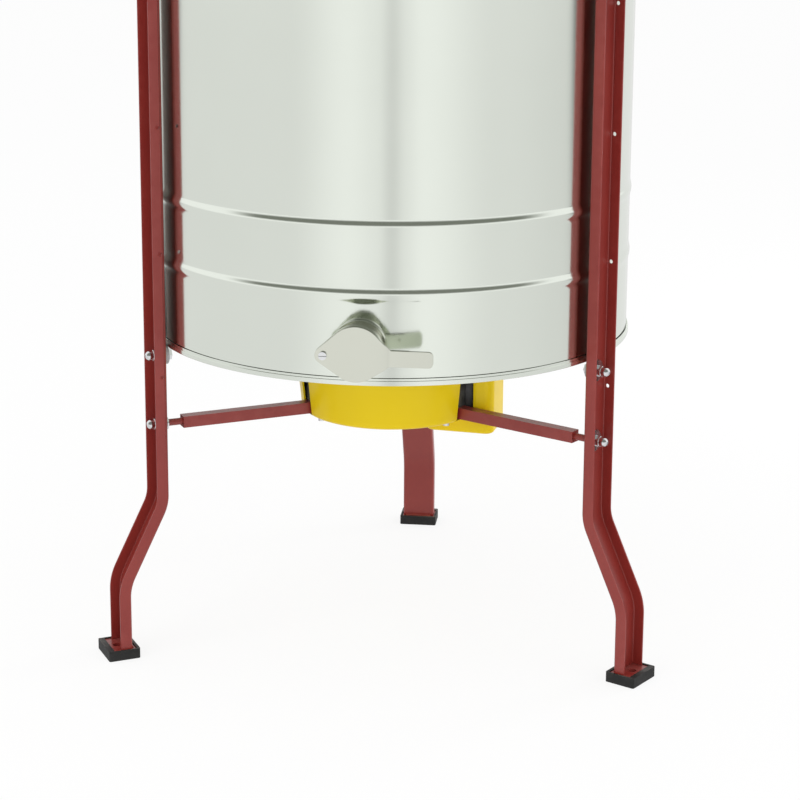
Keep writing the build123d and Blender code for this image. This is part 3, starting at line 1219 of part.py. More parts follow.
def make_lid_handle():
    """Bow handle near the lid's edge."""
    half = HANDLE_HALF_WIDTH
    distance = LID_RADIUS - HANDLE_INSET
    points = [
        (-half, -distance, LID_TOP), (-half, -distance, LID_TOP + HANDLE_RISE),
        (half, -distance, LID_TOP + HANDLE_RISE), (half, -distance, LID_TOP),
    ]
    path = FilletPolyline(*points, radius=HANDLE_BEND)
    section = Plane(origin=points[0], z_dir=(0, 0, 1)) * Circle(HANDLE_ROD)
    handle = sweep(section, path)
    for side in (-half, half):
        handle += disc(HANDLE_FOOT_RADIUS, LID_TOP, LID_TOP + HANDLE_FOOT, side, -distance)
    return handle


# Controls

def panel_screw_places():
    """Panel screws, as (side, height)."""
    side = CONTROL_HALF_WIDTH - PANEL_SCREW_INSET
    heights = (CONTROL_BASE + PANEL_SCREW_INSET, CONTROL_TOP - PANEL_SCREW_INSET)
    return [(x, z) for x in (-side, side) for z in heights]


def panel_sketch(shrink):
    """Outline of the control box seen from its front."""
    width = 2 * (CONTROL_HALF_WIDTH - shrink)
    return RectangleRounded(width, CONTROL_HEIGHT - 2 * shrink, CONTROL_CORNER - shrink)


def panel_solid(shrink, back, front):
    """Rounded block between two radii, as wide and high as the control box less the shrink."""
    middle = (CONTROL_BASE + CONTROL_TOP) / 2
    plane = Plane(origin=(0, -back, middle), x_dir=(1, 0, 0), z_dir=(0, -1, 0))
    return extrude(plane * panel_sketch(shrink), front - back)


def make_control_box():
    """Hollow box, open to its panel, with a boss that sits inside the leg's channel."""
    box = panel_solid(0.0, CONTROL_BACK, CONTROL_FRONT)
    box -= panel_solid(CONTROL_WALL, CONTROL_BACK + CONTROL_WALL, CONTROL_FRONT + CUT)
    for side, height in panel_screw_places():
        box += spoke(PANEL_PAD, CONTROL_BACK + CONTROL_WALL / 2, CONTROL_FRONT, height, side)
        box -= spoke(M4_HOLE, CONTROL_FRONT - M4_LENGTH, CONTROL_FRONT + CUT, height, side)
    base = CONTROL_BASE + CONTROL_BOSS_START
    box += block(
        (-CONTROL_BOSS_HALF, CONTROL_BOSS_HALF),
        (LEG_OUTSIDE, CONTROL_BACK + CONTROL_WALL / 2),
        (base, base + CONTROL_BOSS_RISE),
    )
    depth = LEG_WEB + M6_LENGTH + CUT
    cutters = [spoke(M6_HOLE, LEG_WEB, depth, CONTROL_BASE + rise) for rise in CONTROL_BOLTS]
    gland_y = -(CONTROL_BACK + CONTROL_FRONT) / 2
    for side in GLAND_SIDES:
        hole = GLAND_THREAD_RADIUS + FIT_GAP
        cutters.append(disc(hole, CONTROL_BASE - CUT, CONTROL_BASE + CONTROL_WALL + CUT, side, gland_y))
    return without(box, cutters)


def make_control_panel():
    """Front panel with openings for the knob and the two buttons."""
    panel = panel_solid(0.0, CONTROL_FRONT, PANEL_FACE)
    reach = (CONTROL_FRONT - CUT, PANEL_FACE + CUT)
    cutters = [spoke(M4_HOLE, *reach, height, side) for side, height in panel_screw_places()]
    for side in (-BUTTON_SIDE, BUTTON_SIDE):
        cutters.append(spoke(BUTTON_RADIUS + BUTTON_GAP, *reach, BUTTON_Z, side))
    cutters.append(spoke(KNOB_STEM_RADIUS + RUNNING_GAP, *reach, KNOB_Z))
    return without(panel, cutters)


def panel_screw(side, height):
    """M4 screw in the panel, its head outside."""
    screw = spoke(M4_RADIUS, PANEL_FACE - M4_LENGTH, PANEL_FACE, height, side)
    return screw + spoke(M4_HEAD_RADIUS, PANEL_FACE, PANEL_FACE + M4_HEAD, height, side)


def make_button(side, stand):
    """Push button with a flange behind the panel."""
    inside = CONTROL_FRONT - BUTTON_INSIDE
    button = spoke(BUTTON_RADIUS, inside, PANEL_FACE + stand, BUTTON_Z, side)
    return button + spoke(BUTTON_FLANGE_RADIUS, inside, inside + BUTTON_FLANGE, BUTTON_Z, side)


def make_stop_button():
    """Push button with a broad cap."""
    cap_start = PANEL_FACE + STOP_STAND
    button = make_button(BUTTON_SIDE, STOP_STAND)
    cap = spoke(STOP_CAP_RADIUS, cap_start, cap_start + STOP_CAP, BUTTON_Z, BUTTON_SIDE)
    rim = cap.edges().filter_by(GeomType.CIRCLE).sort_by(Axis.Y)[0]
    return button + fillet(rim, STOP_CAP / 3)


def make_speed_knob():
    """Fluted knob with a mark, on a stem through the panel."""
    start = PANEL_FACE + KNOB_GAP
    end = start + KNOB_HEIGHT
    knob = spoke(KNOB_RADIUS, start, end, KNOB_Z)
    for x, z in circle_points(KNOB_FLUTES, KNOB_RADIUS, 180 / KNOB_FLUTES):
        knob -= spoke(KNOB_FLUTE_RADIUS, start + KNOB_HEIGHT / 4, end + CUT, KNOB_Z + z, x)
    half = KNOB_MARK_WIDTH / 2
    mark = (KNOB_Z + KNOB_RADIUS / 3, KNOB_Z + 2 * KNOB_RADIUS)
    knob -= block((-half, half), (end - KNOB_MARK_DEPTH, end + CUT), mark)
    return knob + spoke(KNOB_STEM_RADIUS, CONTROL_FRONT - KNOB_STEM_INSIDE, start + CUT, KNOB_Z)


def make_gland(side):
    """Cable gland in the box floor, empty."""
    y = -(CONTROL_BACK + CONTROL_FRONT) / 2
    low = CONTROL_BASE - GLAND_HEX - GLAND_NECK
    gland = upright_hex(GLAND_ACROSS, CONTROL_BASE - GLAND_HEX, CONTROL_BASE, side, y)
    gland += disc(GLAND_NECK_RADIUS, low, CONTROL_BASE - GLAND_HEX, side, y)
    thread_top = CONTROL_BASE + CONTROL_WALL + GLAND_HEX / 2
    gland += disc(GLAND_THREAD_RADIUS, CONTROL_BASE - CUT, thread_top, side, y)
    return gland - disc(GLAND_BORE, low - CUT, thread_top + CUT, side, y)


# Fasteners used in several places

def frame_bolts():
    """All M6 bolts of the standing frame."""
    bolts = []
    for distance in ARM_BOLTS:
        bolts += at_legs(upright_bolt(DISH_TOP, 0, -distance))
    for seat in (DISH_TOP, BRIDGE_TOP):
        for x, y in circle_points(HOUSING_BOLTS, HOUSING_BOLT_CIRCLE, SCREW_CIRCLE_START):
            bolts.append(upright_bolt(seat + HOUSING_FLANGE, x, y))
    for side in (-BRACKET_BOLT_SIDE, BRACKET_BOLT_SIDE):
        bolts.append(MOTOR_TURN * upright_bolt(DISH_TOP + BRACKET_PLATE, side, -BRACKET_BOLT_DISTANCE))
    seat = BRIDGE_END + BRIDGE_SHEET
    for turn, side in bridge_bolt_places():
        height = DRUM_TOP - BRIDGE_BOLT_DROP
        bolt = spoke(M6_RADIUS, seat - M6_LENGTH, seat, height, side)
        bolts.append(Rot(0, 0, turn) * (bolt + spoke_hex(M6_ACROSS, seat, seat + M6_HEAD, height, side)))
    for rise in CONTROL_BOLTS:
        bolt = spoke(M6_RADIUS, LEG_WEB, LEG_WEB + M6_LENGTH, CONTROL_BASE + rise)
        bolt += spoke_hex(M6_ACROSS, LEG_WEB - M6_HEAD, LEG_WEB, CONTROL_BASE + rise)
        bolts.append(Rot(0, 0, LEG_ANGLES["right"]) * bolt)
    return bolts


def small_screws():
    """All M4 screws: motor, bearing cap, motor cover and control panel."""
    screws = [MOTOR_TURN * small_screw(MOTOR_TOP + BRACKET_PLATE, x, y) for x, y in motor_screw_points()]
    for x, y in circle_points(CAP_SCREWS, CAP_SCREW_CIRCLE):
        screws.append(small_screw(UPPER_HOUSING_TOP + CAP_SHEET, x, y))
    under = COVER_BOTTOM - COVER_WALL
    for x, y in tab_screw_places():
        screw = disc(M4_RADIUS, under, under + M4_LENGTH, x, y)
        screw += disc(M4_HEAD_RADIUS, under - M4_HEAD, under, x, y)
        screws.append(MOTOR_TURN * screw)
    turn = Rot(0, 0, LEG_ANGLES["right"])
    screws += [turn * panel_screw(side, height) for side, height in panel_screw_places()]
    return screws


def main():
    """Build every node and write it to parts/."""
    os.makedirs("parts", exist_ok=True)

    save("drum_shell", make_drum_shell())
    save("drum_bottom", make_drum_bottom())
    save("gate_body", make_gate_body())
    save("gate_seal", make_gate_seal())
    save("gate_pivot_screw", *make_gate_screw())
    save("gate_flap", make_gate_flap())

    control_bolts = [CONTROL_BASE + rise for rise in CONTROL_BOLTS]
    for side, angle in LEG_ANGLES.items():
        turn = Rot(0, 0, angle)
        save(f"leg_{side}", turn * make_leg(control_bolts if side == "right" else ()))
        save(f"foot_{side}", turn * make_foot())
        save(f"arm_{side}", turn * make_arm())
    support_seat = LEG_WEB - FIT_GAP - SUPPORT_BUSH_LENGTH
    top_seat = DRUM_RADIUS - DRUM_WALL - FIT_GAP
    support_bolts = at_legs(make_leg_bolt(support_seat, SUPPORT_Z))
    save("leg_bolts", *support_bolts, *at_legs(make_leg_bolt(top_seat, TOP_BOLT_Z)))
    save("support_bushes", *at_legs(make_support_bush()))
    save("top_spacers", *at_legs(make_top_spacer()))
    save("arm_inner_nuts", *at_legs(make_arm_nut()))
    nut_heights = (ARM_Z, SUPPORT_Z, TOP_BOLT_Z)
    save("leg_washers", *[solid for height in nut_heights for solid in at_legs(make_washer(height))])
    save("acorn_nuts", *[solid for height in nut_heights for solid in at_legs(make_acorn_nut(height))])

    save("hub_dish", make_hub_dish())
    save("bearing_housings", make_bearing_housing(DISH_TOP), make_bearing_housing(BRIDGE_TOP))
    save("bearing_outer_races", make_outer_race(HOUSING_TOP), make_outer_race(UPPER_HOUSING_TOP))
    save("bearing_inner_races", make_inner_race(HOUSING_TOP), make_inner_race(UPPER_HOUSING_TOP))
    save("bearing_cap", make_bearing_cap())
    save("basket_shaft", make_basket_shaft())
    save("shaft_seal", make_shaft_seal())

    save("motor_casing", make_motor_casing())
    save("motor_armature", make_motor_armature())
    save("motor_bracket", make_motor_bracket())
    save("driven_pulley", make_driven_pulley())
    save("motor_pulley", make_motor_pulley())
    save("drive_belt", make_drive_belt())
    save("drive_cover", make_drive_cover())
    save("motor_cover", make_motor_cover())
    save("cover_screws", *[Rot(0, 0, angle) * make_cover_screw() for angle in COVER_SCREW_ANGLES])

    save("basket_discs", *make_basket_discs())
    save("basket_bands", *make_basket_bands())
    save("basket_bars", *make_basket_bars())
    save("basket_uprights", *[disc(UPRIGHT_RADIUS, FLOOR_TOP, UPPER_COMB, x, y) for x, y in upright_places()])
    upper_hub_seat = UPPER_COMB + COMB_SHEET
    save("basket_hubs", make_basket_hub(FLOOR_TOP), make_basket_hub(upper_hub_seat))
    bolt_seats = [seat + BASKET_HUB_FLANGE for seat in (FLOOR_TOP, upper_hub_seat)]
    save("basket_bolts", *[upright_bolt(seat, x, y) for seat in bolt_seats for x, y in hub_bolt_places()])

    save("bridge", make_bridge())
    half_turn = Rot(0, 0, 180)
    leaves = [make_hinge_leaf(middle) for middle in HINGE_SIDES]
    save("lid_hinge_leaves", *leaves, *[half_turn * leaf for leaf in leaves])
    pins = [Pos(middle, 0, 0) * along_x(HINGE_PIN_RADIUS, HINGE_WIDTH) for middle in HINGE_SIDES]
    save("lid_hinge_pins", *pins, *[half_turn * pin for pin in pins])
    for side, turn in (("front", Rot(0, 0, 0)), ("rear", half_turn)):
        save(f"lid_{side}", turn * make_lid())
        save(f"lid_{side}_hinges", *[turn * make_lid_hinge(middle) for middle in HINGE_SIDES])
        save(f"lid_{side}_handle", turn * make_lid_handle())

    panel_turn = Rot(0, 0, LEG_ANGLES["right"])
    save("control_box", panel_turn * make_control_box())
    save("control_panel", panel_turn * make_control_panel())
    save("cable_glands", *[panel_turn * make_gland(side) for side in GLAND_SIDES])
    save("speed_knob", panel_turn * make_speed_knob())
    save("start_button", panel_turn * make_button(-BUTTON_SIDE, START_STAND))
    save("stop_button", panel_turn * make_stop_button())

    save("frame_bolts", *frame_bolts())
    save("small_screws", *small_screws())


main()
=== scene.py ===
"""Looks of a radial honey extractor: bright drum, flap gate, red channel legs and a yellow drive cover."""

import json
import logging
import math
from contextlib import contextmanager
from dataclasses import dataclass
from enum import Enum
from typing import Any, Iterator, Sequence

import bpy
from mathutils import Matrix, Vector


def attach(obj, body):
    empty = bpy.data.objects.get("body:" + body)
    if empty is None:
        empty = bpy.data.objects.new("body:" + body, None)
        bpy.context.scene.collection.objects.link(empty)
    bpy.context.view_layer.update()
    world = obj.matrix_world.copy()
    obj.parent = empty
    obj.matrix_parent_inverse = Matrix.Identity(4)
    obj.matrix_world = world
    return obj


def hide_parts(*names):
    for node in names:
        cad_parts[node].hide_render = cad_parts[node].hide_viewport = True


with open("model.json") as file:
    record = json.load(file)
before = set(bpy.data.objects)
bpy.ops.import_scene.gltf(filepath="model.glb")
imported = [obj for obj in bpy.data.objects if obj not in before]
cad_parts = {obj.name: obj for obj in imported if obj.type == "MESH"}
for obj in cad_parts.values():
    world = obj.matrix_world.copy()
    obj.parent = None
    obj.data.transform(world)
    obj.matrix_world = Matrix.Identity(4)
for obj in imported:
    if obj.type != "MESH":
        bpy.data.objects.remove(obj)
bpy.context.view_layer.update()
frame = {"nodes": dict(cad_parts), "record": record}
LOG = logging.getLogger("honey_extractor")

Piece = bpy.types.Object
Tree = bpy.types.NodeTree
Socket = bpy.types.NodeSocket
Point = Sequence[float]
Triple = tuple[float, float, float]
Colour = tuple[float, float, float, float]
Profile = list[tuple[float, float]]


class LegSide(Enum):
    """The three legs, each with its angle from the gate towards +X, in degrees."""

    LEFT = -60.0
    RIGHT = 60.0
    REAR = 180.0

    @property
    def label(self) -> str:
        """Name of the side as the nodes use it."""
        return self.name.lower()

    @property
    def turn(self) -> Matrix:
        """Turn that takes a piece from the front to this leg."""
        return Matrix.Rotation(math.radians(self.value), 4, "Z")


class Grain(Enum):
    """How the fine marks of a surface run, as waves per metre along X, Y and Z."""

    AROUND = (5.0, 5.0, 1300.0)
    ACROSS = (14.0, 900.0, 900.0)
    EVEN = (650.0, 650.0, 650.0)
    COARSE = (260.0, 260.0, 260.0)


def outward(distance: float, height: float, side: float = 0.0) -> Matrix:
    """Place at the front, at a distance from the drum axis, whose local Z points away from it."""
    return Matrix.Translation((side, -distance, height)) @ Matrix.Rotation(math.pi / 2, 4, "X")


def arc(centre: tuple[float, float], radius: float, start: float, end: float, steps: int) -> Profile:
    """Points on a circle between two angles in degrees, both ends included.

    Args:
        centre: Middle of the circle.
        radius: Radius of the circle.
        start: First angle.
        end: Last angle.
        steps: Number of spans.

    Returns:
        The points in order.
    """
    across, up = centre
    angles = [math.radians(start + (end - start) * step / steps) for step in range(steps + 1)]
    return [(across + radius * math.cos(angle), up + radius * math.sin(angle)) for angle in angles]


def opaque(red: float, green: float, blue: float) -> Colour:
    """Colour that hides what is behind it."""
    return (red, green, blue, 1.0)


def grey(value: float, warm: float = 0.0) -> Colour:
    """Grey, or a slightly warm grey."""
    return opaque(value + warm, value, value - warm)


ORIGIN = (0.0, 0.0, 0.0)
ALONG_X = (1.0, 0.0, 0.0)
ALONG_Y = (0.0, 1.0, 0.0)
ALONG_Z = (0.0, 0.0, 1.0)
WHITE = grey(1.0)
DUST_COLOUR = opaque(0.42, 0.40, 0.36)


class Workbench:
    """Hand modelling: every mesh operator that the pieces need."""

    WELD = 0.00001
    NODE_WELD = 0.00002
    FLAT_ANGLE = math.radians(0.6)

    @staticmethod
    def clear() -> None:
        """Leave edit mode and deselect everything."""
        if bpy.context.mode != "OBJECT":
            bpy.ops.object.mode_set(mode="OBJECT")
        bpy.ops.object.select_all(action="DESELECT")

    @staticmethod
    def pick(piece: Piece) -> None:
        """Make a piece the only selected and active one.

        Args:
            piece: The piece.
        """
        Workbench.clear()
        piece.select_set(True)
        bpy.context.view_layer.objects.active = piece

    @staticmethod
    def started(name: str) -> Piece:
        """Name the piece that an operator just made.

        Args:
            name: Its name.

        Returns:
            The piece.
        """
        piece = bpy.context.object
        piece.name = name
        piece.data.name = name
        return piece

    @staticmethod
    @contextmanager
    def editing(piece: Piece) -> Iterator[None]:
        """Open a piece in edit mode with all of it selected.

        Args:
            piece: The mesh object.

        Returns:
            A context that goes back to object mode at its end.
        """
        Workbench.pick(piece)
        bpy.ops.object.mode_set(mode="EDIT")
        bpy.context.tool_settings.mesh_select_mode = (True, False, False)
        bpy.ops.mesh.select_all(action="SELECT")
        try:
            yield
        finally:
            bpy.ops.object.mode_set(mode="OBJECT")

    @staticmethod
    def pull(step: Point) -> None:
        """Extrude the selected edges or faces along a step."""
        bpy.ops.mesh.extrude_region_move(TRANSFORM_OT_translate={"value": tuple(step)})

    @staticmethod
    def swing(angle: float, centre: Point, axis: Point, steps: int) -> None:
        """Spin the selection right-handed about an axis; the spin operator itself turns left-handed."""
        bpy.ops.mesh.spin(steps=steps, angle=-angle, center=tuple(centre), axis=tuple(axis))

    @staticmethod
    def close_up() -> None:
        """Merge doubled points and turn every face outwards."""
        bpy.ops.mesh.select_all(action="SELECT")
        bpy.ops.mesh.remove_doubles(threshold=Workbench.WELD)
        bpy.ops.mesh.normals_make_consistent(inside=False)

    @staticmethod
    def draw(name: str, points: Sequence[Point]) -> Piece:
        """Draw a line of edges, point by point.

        Args:
            name: Name of the new piece.
            points: The line's points.

        Returns:
            The new piece.
        """
        Workbench.clear()
        bpy.ops.mesh.primitive_plane_add(size=0.01)
        piece = Workbench.started(name)
        with Workbench.editing(piece):
            bpy.ops.mesh.merge(type="CENTER")
            bpy.ops.transform.translate(value=tuple(points[0]))
            for here, there in zip(points, points[1:]):
                step = Vector(there) - Vector(here)
                bpy.ops.mesh.extrude_vertices_move(TRANSFORM_OT_translate={"value": tuple(step)})
        return piece

    @staticmethod
    def lathe(name: str, profile: Profile, steps: int) -> Piece:
        """Turn a profile about the Z axis.

        Args:
            name: Name of the new piece.
            profile: Points as (radius, height).
            steps: Number of steps round the axis.

        Returns:
            The new piece.
        """
        piece = Workbench.draw(name, [(radius, 0.0, height) for radius, height in profile])
        with Workbench.editing(piece):
            Workbench.swing(2 * math.pi, ORIGIN, ALONG_Z, steps)
            Workbench.close_up()
        return piece

    @staticmethod
    def block(name: str, size: Point, centre: Point) -> Piece:
        """Start a piece from a box.

        Args:
            name: Name of the new piece.
            size: Lengths along X, Y and Z.
            centre: Middle of the box.

        Returns:
            The new piece.
        """
        Workbench.clear()
        bpy.ops.mesh.primitive_cube_add(size=1.0, location=tuple(centre), scale=tuple(size))
        bpy.ops.object.transform_apply(location=True, rotation=True, scale=True)
        return Workbench.started(name)

    @staticmethod
    def rod(name: str, radius: float, length: float, place: Matrix, sides: int) -> Piece:
        """Start a piece from a bar along the local Z of a place, centred on it.

        Args:
            name: Name of the new piece.
            radius: Radius to the corners.
            length: Length of the bar.
            place: Middle and direction of the bar.
            sides: Number of sides.

        Returns:
            The new piece.
        """
        Workbench.clear()
        bpy.ops.mesh.primitive_cylinder_add(vertices=sides, radius=radius, depth=length)
        piece = Workbench.started(name)
        Workbench.settle(piece, place)
        return piece

    @staticmethod
    def settle(piece: Piece, place: Matrix) -> None:
        """Move a piece and put its place into its mesh.

        Args:
            piece: The piece.
            place: Its place.
        """
        Workbench.pick(piece)
        piece.matrix_world = place
        bpy.ops.object.transform_apply(location=True, rotation=True, scale=True)

    @staticmethod
    def copied(piece: Piece, name: str) -> Piece:
        """Copy a piece with its own mesh.

        Args:
            piece: The piece to copy.
            name: Name of the copy.

        Returns:
            The copy.
        """
        Workbench.pick(piece)
        bpy.ops.object.duplicate(linked=False)
        return Workbench.started(name)

    @staticmethod
    def twin(piece: Piece, name: str, place: Matrix) -> Piece:
        """Copy a piece and settle the copy.

        Args:
            piece: The piece to copy.
            name: Name of the copy.
            place: Move applied to the copy.

        Returns:
            The copy.
        """
        copy = Workbench.copied(piece, name)
        Workbench.settle(copy, place)
        return copy

    @staticmethod
    def join(name: str, pieces: Sequence[Piece]) -> Piece:
        """Join pieces into the first one.

        Args:
            name: Name of the joined piece.
            pieces: The pieces.

        Returns:
            The joined piece.
        """
        Workbench.pick(pieces[0])
        for piece in pieces[1:]:
            piece.select_set(True)
        bpy.ops.object.join()
        return Workbench.started(name)

    @staticmethod
    def modify(piece: Piece, kind: str, **settings: Any) -> None:
        """Add a modifier with its settings and apply it.

        Args:
            piece: The piece.
            kind: Type of the modifier.
            settings: Values of the modifier.
        """
        Workbench.pick(piece)
        modifier = piece.modifiers.new(kind.lower(), kind)
        for key, value in settings.items():
            setattr(modifier, key, value)
        bpy.ops.object.modifier_apply(modifier=modifier.name)

    @staticmethod
    def thicken(piece: Piece, sheet: float, side: float) -> None:
        """Give a surface its sheet thickness, on one side of it."""
        Workbench.modify(piece, "SOLIDIFY", thickness=sheet, offset=side, use_even_offset=True)

    @staticmethod
    def cut(piece: Piece, cutter: Piece) -> None:
        """Take a cutter's shape out of a piece and remove the cutter."""
        Workbench.modify(piece, "BOOLEAN", operation="DIFFERENCE", solver="EXACT", object=cutter)
        bpy.data.objects.remove(cutter, do_unlink=True)

    @staticmethod
    def ease(piece: Piece, width: float, segments: int = 2, angle: float = 40.0) -> None:
        """Round the edges that are sharper than an angle."""
        Workbench.modify(
            piece, "BEVEL", width=width, segments=segments, limit_method="ANGLE",
            angle_limit=math.radians(angle), use_clamp_overlap=True,
        )

    @staticmethod
    def polish(piece: Piece, angle: float = 38.0) -> None:
        """Shade a piece smooth and keep its large faces flat.

        Args:
            piece: The piece.
            angle: Edges sharper than this, in degrees, stay sharp.
        """
        Workbench.pick(piece)
        bpy.ops.object.shade_smooth_by_angle(angle=math.radians(angle))
        Workbench.modify(piece, "WEIGHTED_NORMAL", mode="FACE_AREA", keep_sharp=True, weight=50)

    @staticmethod
    def soft_copy(node: str, name: str, width: float) -> Piece:
        """Copy a CAD node as a welded mesh with rounded edges.

        Args:
            node: The CAD node.
            name: Name of the new piece.
            width: Width of the rounding.

        Returns:
            The new piece.
        """
        piece = Workbench.copied(frame["nodes"][node], name)
        for key in [key for key in piece.keys() if key.startswith("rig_")]:
            del piece[key]
        with Workbench.editing(piece):
            bpy.ops.mesh.customdata_custom_splitnormals_clear()
            bpy.ops.mesh.remove_doubles(threshold=Workbench.NODE_WELD)
            bpy.ops.mesh.dissolve_limited(angle_limit=Workbench.FLAT_ANGLE)
        Workbench.ease(piece, width)
        Workbench.polish(piece)
        return piece


@dataclass
class Wiring:
    """Lays out the shader nodes of one node tree."""

    tree: Tree

    def feed(self, node: bpy.types.Node, sockets: dict) -> None:
        """Give a node its inputs.

        Args:
            node: The node.
            sockets: Inputs by name or place; an output socket is linked, anything else is set.
        """
        for key, value in sockets.items():
            if isinstance(value, Socket):
                self.tree.links.new(value, node.inputs[key])
            else:
                node.inputs[key].default_value = value

    def add(self, kind: str, sockets: dict | None = None, **settings: Any) -> bpy.types.Node:
        """Add a node, set its options and give it its inputs.

        Args:
            kind: Type of the node, without the words that start every type's name.
            sockets: Inputs, as feed takes them.
            settings: Options of the node.

        Returns:
            The new node.
        """
        node = self.tree.nodes.new(f"ShaderNode{kind}")
        for key, value in settings.items():
            setattr(node, key, value)
        self.feed(node, sockets or {})
        return node

    def read(self, kind: str, output: str) -> Socket:
        """Output of a node that takes no inputs."""
        return self.add(kind).outputs[output]

    def effect(self, group: Tree, **sockets: Any) -> Any:
        """Outputs of a shared node group with the given inputs."""
        return self.add("Group", sockets, node_tree=group).outputs

    def mix(self, factor: Any, first: Any, second: Any) -> Socket:
        """Colour between two colours or sockets."""
        return self.add("Mix", {0: factor, 6: first, 7: second}, data_type="RGBA").outputs[2]

    def combine(self, operation: str, first: Any, second: Any) -> Socket:
        """Result of a sum on two values or sockets."""
        return self.add("Math", {0: first, 1: second}, operation=operation).outputs[0]

    def times(self, first: Any, second: Any) -> Socket:
        """Product of two values or sockets."""
        return self.combine("MULTIPLY", first, second)

    def split(self, vector: Any) -> Any:
        """Outputs X, Y and Z of a vector."""
        return self.add("SeparateXYZ", {0: vector}).outputs

    def ramp(self, value: Any, low: float, high: float, kind: str = "SMOOTHSTEP") -> Socket:
        """Value that rises from 0 at a low limit to 1 at a high one."""
        sockets = {"Value": value, "From Min": low, "From Max": high}
        return self.add("MapRange", sockets, interpolation_type=kind).outputs["Result"]

    def noise(self, scale: Any, detail: float, vector: Any = None) -> Socket:
        """Value of a noise at a vector, or else at the object's own coordinates."""
        sockets = {"Vector": vector or self.read("TexCoord", "Object"), "Scale": scale, "Detail": detail}
        return self.add("TexNoise", sockets).outputs[0]

    def varied(self, marks: Socket, spread: Any, middle: Any) -> Socket:
        """Value that a noise's marks spread about a middle."""
        return self.combine("ADD", self.times(self.combine("SUBTRACT", marks, 0.5), spread), middle)


class Effects:
    """Surface effects that several finishes share, each a node group."""

    KINDS = {1: "NodeSocketFloat", 3: "NodeSocketVector", 4: "NodeSocketColor"}

    def __init__(self) -> None:
        """Build every effect once."""
        self.mottle = self.build_mottle()
        self.grain = self.build_grain()
        self.edge_wear = self.build_edge_wear()
        self.dust = self.build_dust()
        self.smudge = self.build_smudge()

    def start(self, name: str, inputs: dict[str, Any], outputs: dict[str, int]) -> tuple:
        """Start a node group.

        Args:
            name: Name of the group.
            inputs: Default value of each input.
            outputs: How many numbers each output holds.

        Returns:
            The group's wiring, the sockets that bring its inputs and the node that takes its outputs.
        """
        tree = bpy.data.node_groups.new(name, "ShaderNodeTree")
        for label, default in inputs.items():
            kind = self.KINDS[len(default) if isinstance(default, tuple) else 1]
            tree.interface.new_socket(name=label, in_out="INPUT", socket_type=kind).default_value = default
        for label, size in outputs.items():
            tree.interface.new_socket(name=label, in_out="OUTPUT", socket_type=self.KINDS[size])
        return Wiring(tree), tree.nodes.new("NodeGroupInput").outputs, tree.nodes.new("NodeGroupOutput")

    def build_mottle(self) -> Tree:
        """Build the slow change between two tones of one colour.

        Returns:
            The node group.
        """
        inputs = {"Base": grey(0.5), "Tint": grey(0.6), "Scale": 9.0, "Amount": 0.5}
        nodes, given, result = self.start("mottled tone", inputs, {"Color": 4})
        spots = nodes.ramp(nodes.noise(given["Scale"], detail=4.0), low=0.3, high=0.7)
        colour = nodes.mix(nodes.times(spots, given["Amount"]), given["Base"], given["Tint"])
        nodes.feed(result, {"Color": colour})
        return nodes.tree

    def build_grain(self) -> Tree:
        """Build the fine marks of rolling, turning or moulding.

        Returns:
            The node group.
        """
        inputs = {"Waves": (500.0, 500.0, 500.0), "Roughness": 0.3, "Spread": 0.1}
        nodes, given, result = self.start("fine grain", inputs, {"Height": 1, "Roughness": 1})
        place = nodes.read("TexCoord", "Object")
        scaled = nodes.add("VectorMath", {0: place, 1: given["Waves"]}, operation="MULTIPLY").outputs[0]
        marks = nodes.noise(1.0, detail=3.0, vector=scaled)
        rough = nodes.varied(marks, given["Spread"], given["Roughness"])
        nodes.feed(result, {"Height": marks, "Roughness": rough})
        return nodes.tree

    def build_edge_wear(self) -> Tree:
        """Build the broken line of wear along outside edges.

        Returns:
            The node group.
        """
        nodes, given, result = self.start("edge wear", {"Scale": 60.0, "Amount": 0.5}, {"Mask": 1})
        edge = nodes.ramp(nodes.read("NewGeometry", "Pointiness"), low=0.52, high=0.60)
        broken = nodes.ramp(nodes.noise(given["Scale"], detail=5.0), low=0.4, high=0.62)
        nodes.feed(result, {"Mask": nodes.times(nodes.times(edge, broken), given["Amount"])})
        return nodes.tree

    def build_dust(self) -> Tree:
        """Build the dust that lies on faces that look up.

        Returns:
            The node group.
        """
        nodes, given, result = self.start("settled dust", {"Scale": 45.0, "Amount": 0.3}, {"Mask": 1})
        upward = nodes.ramp(nodes.split(nodes.read("NewGeometry", "Normal"))["Z"], low=0.45, high=0.95)
        patches = nodes.ramp(nodes.noise(given["Scale"], detail=6.0), low=0.3, high=0.75)
        nodes.feed(result, {"Mask": nodes.times(nodes.times(upward, patches), given["Amount"])})
        return nodes.tree

    def build_smudge(self) -> Tree:
        """Build the soft wiped patches that change a surface's gloss.

        Returns:
            The node group.
        """
        inputs = {"Roughness": 0.2, "Scale": 7.0, "Spread": 0.05}
        nodes, given, result = self.start("wiped gloss", inputs, {"Roughness": 1})
        patches = nodes.noise(given["Scale"], detail=3.0)
        nodes.feed(result, {"Roughness": nodes.varied(patches, given["Spread"], given["Roughness"])})
        return nodes.tree


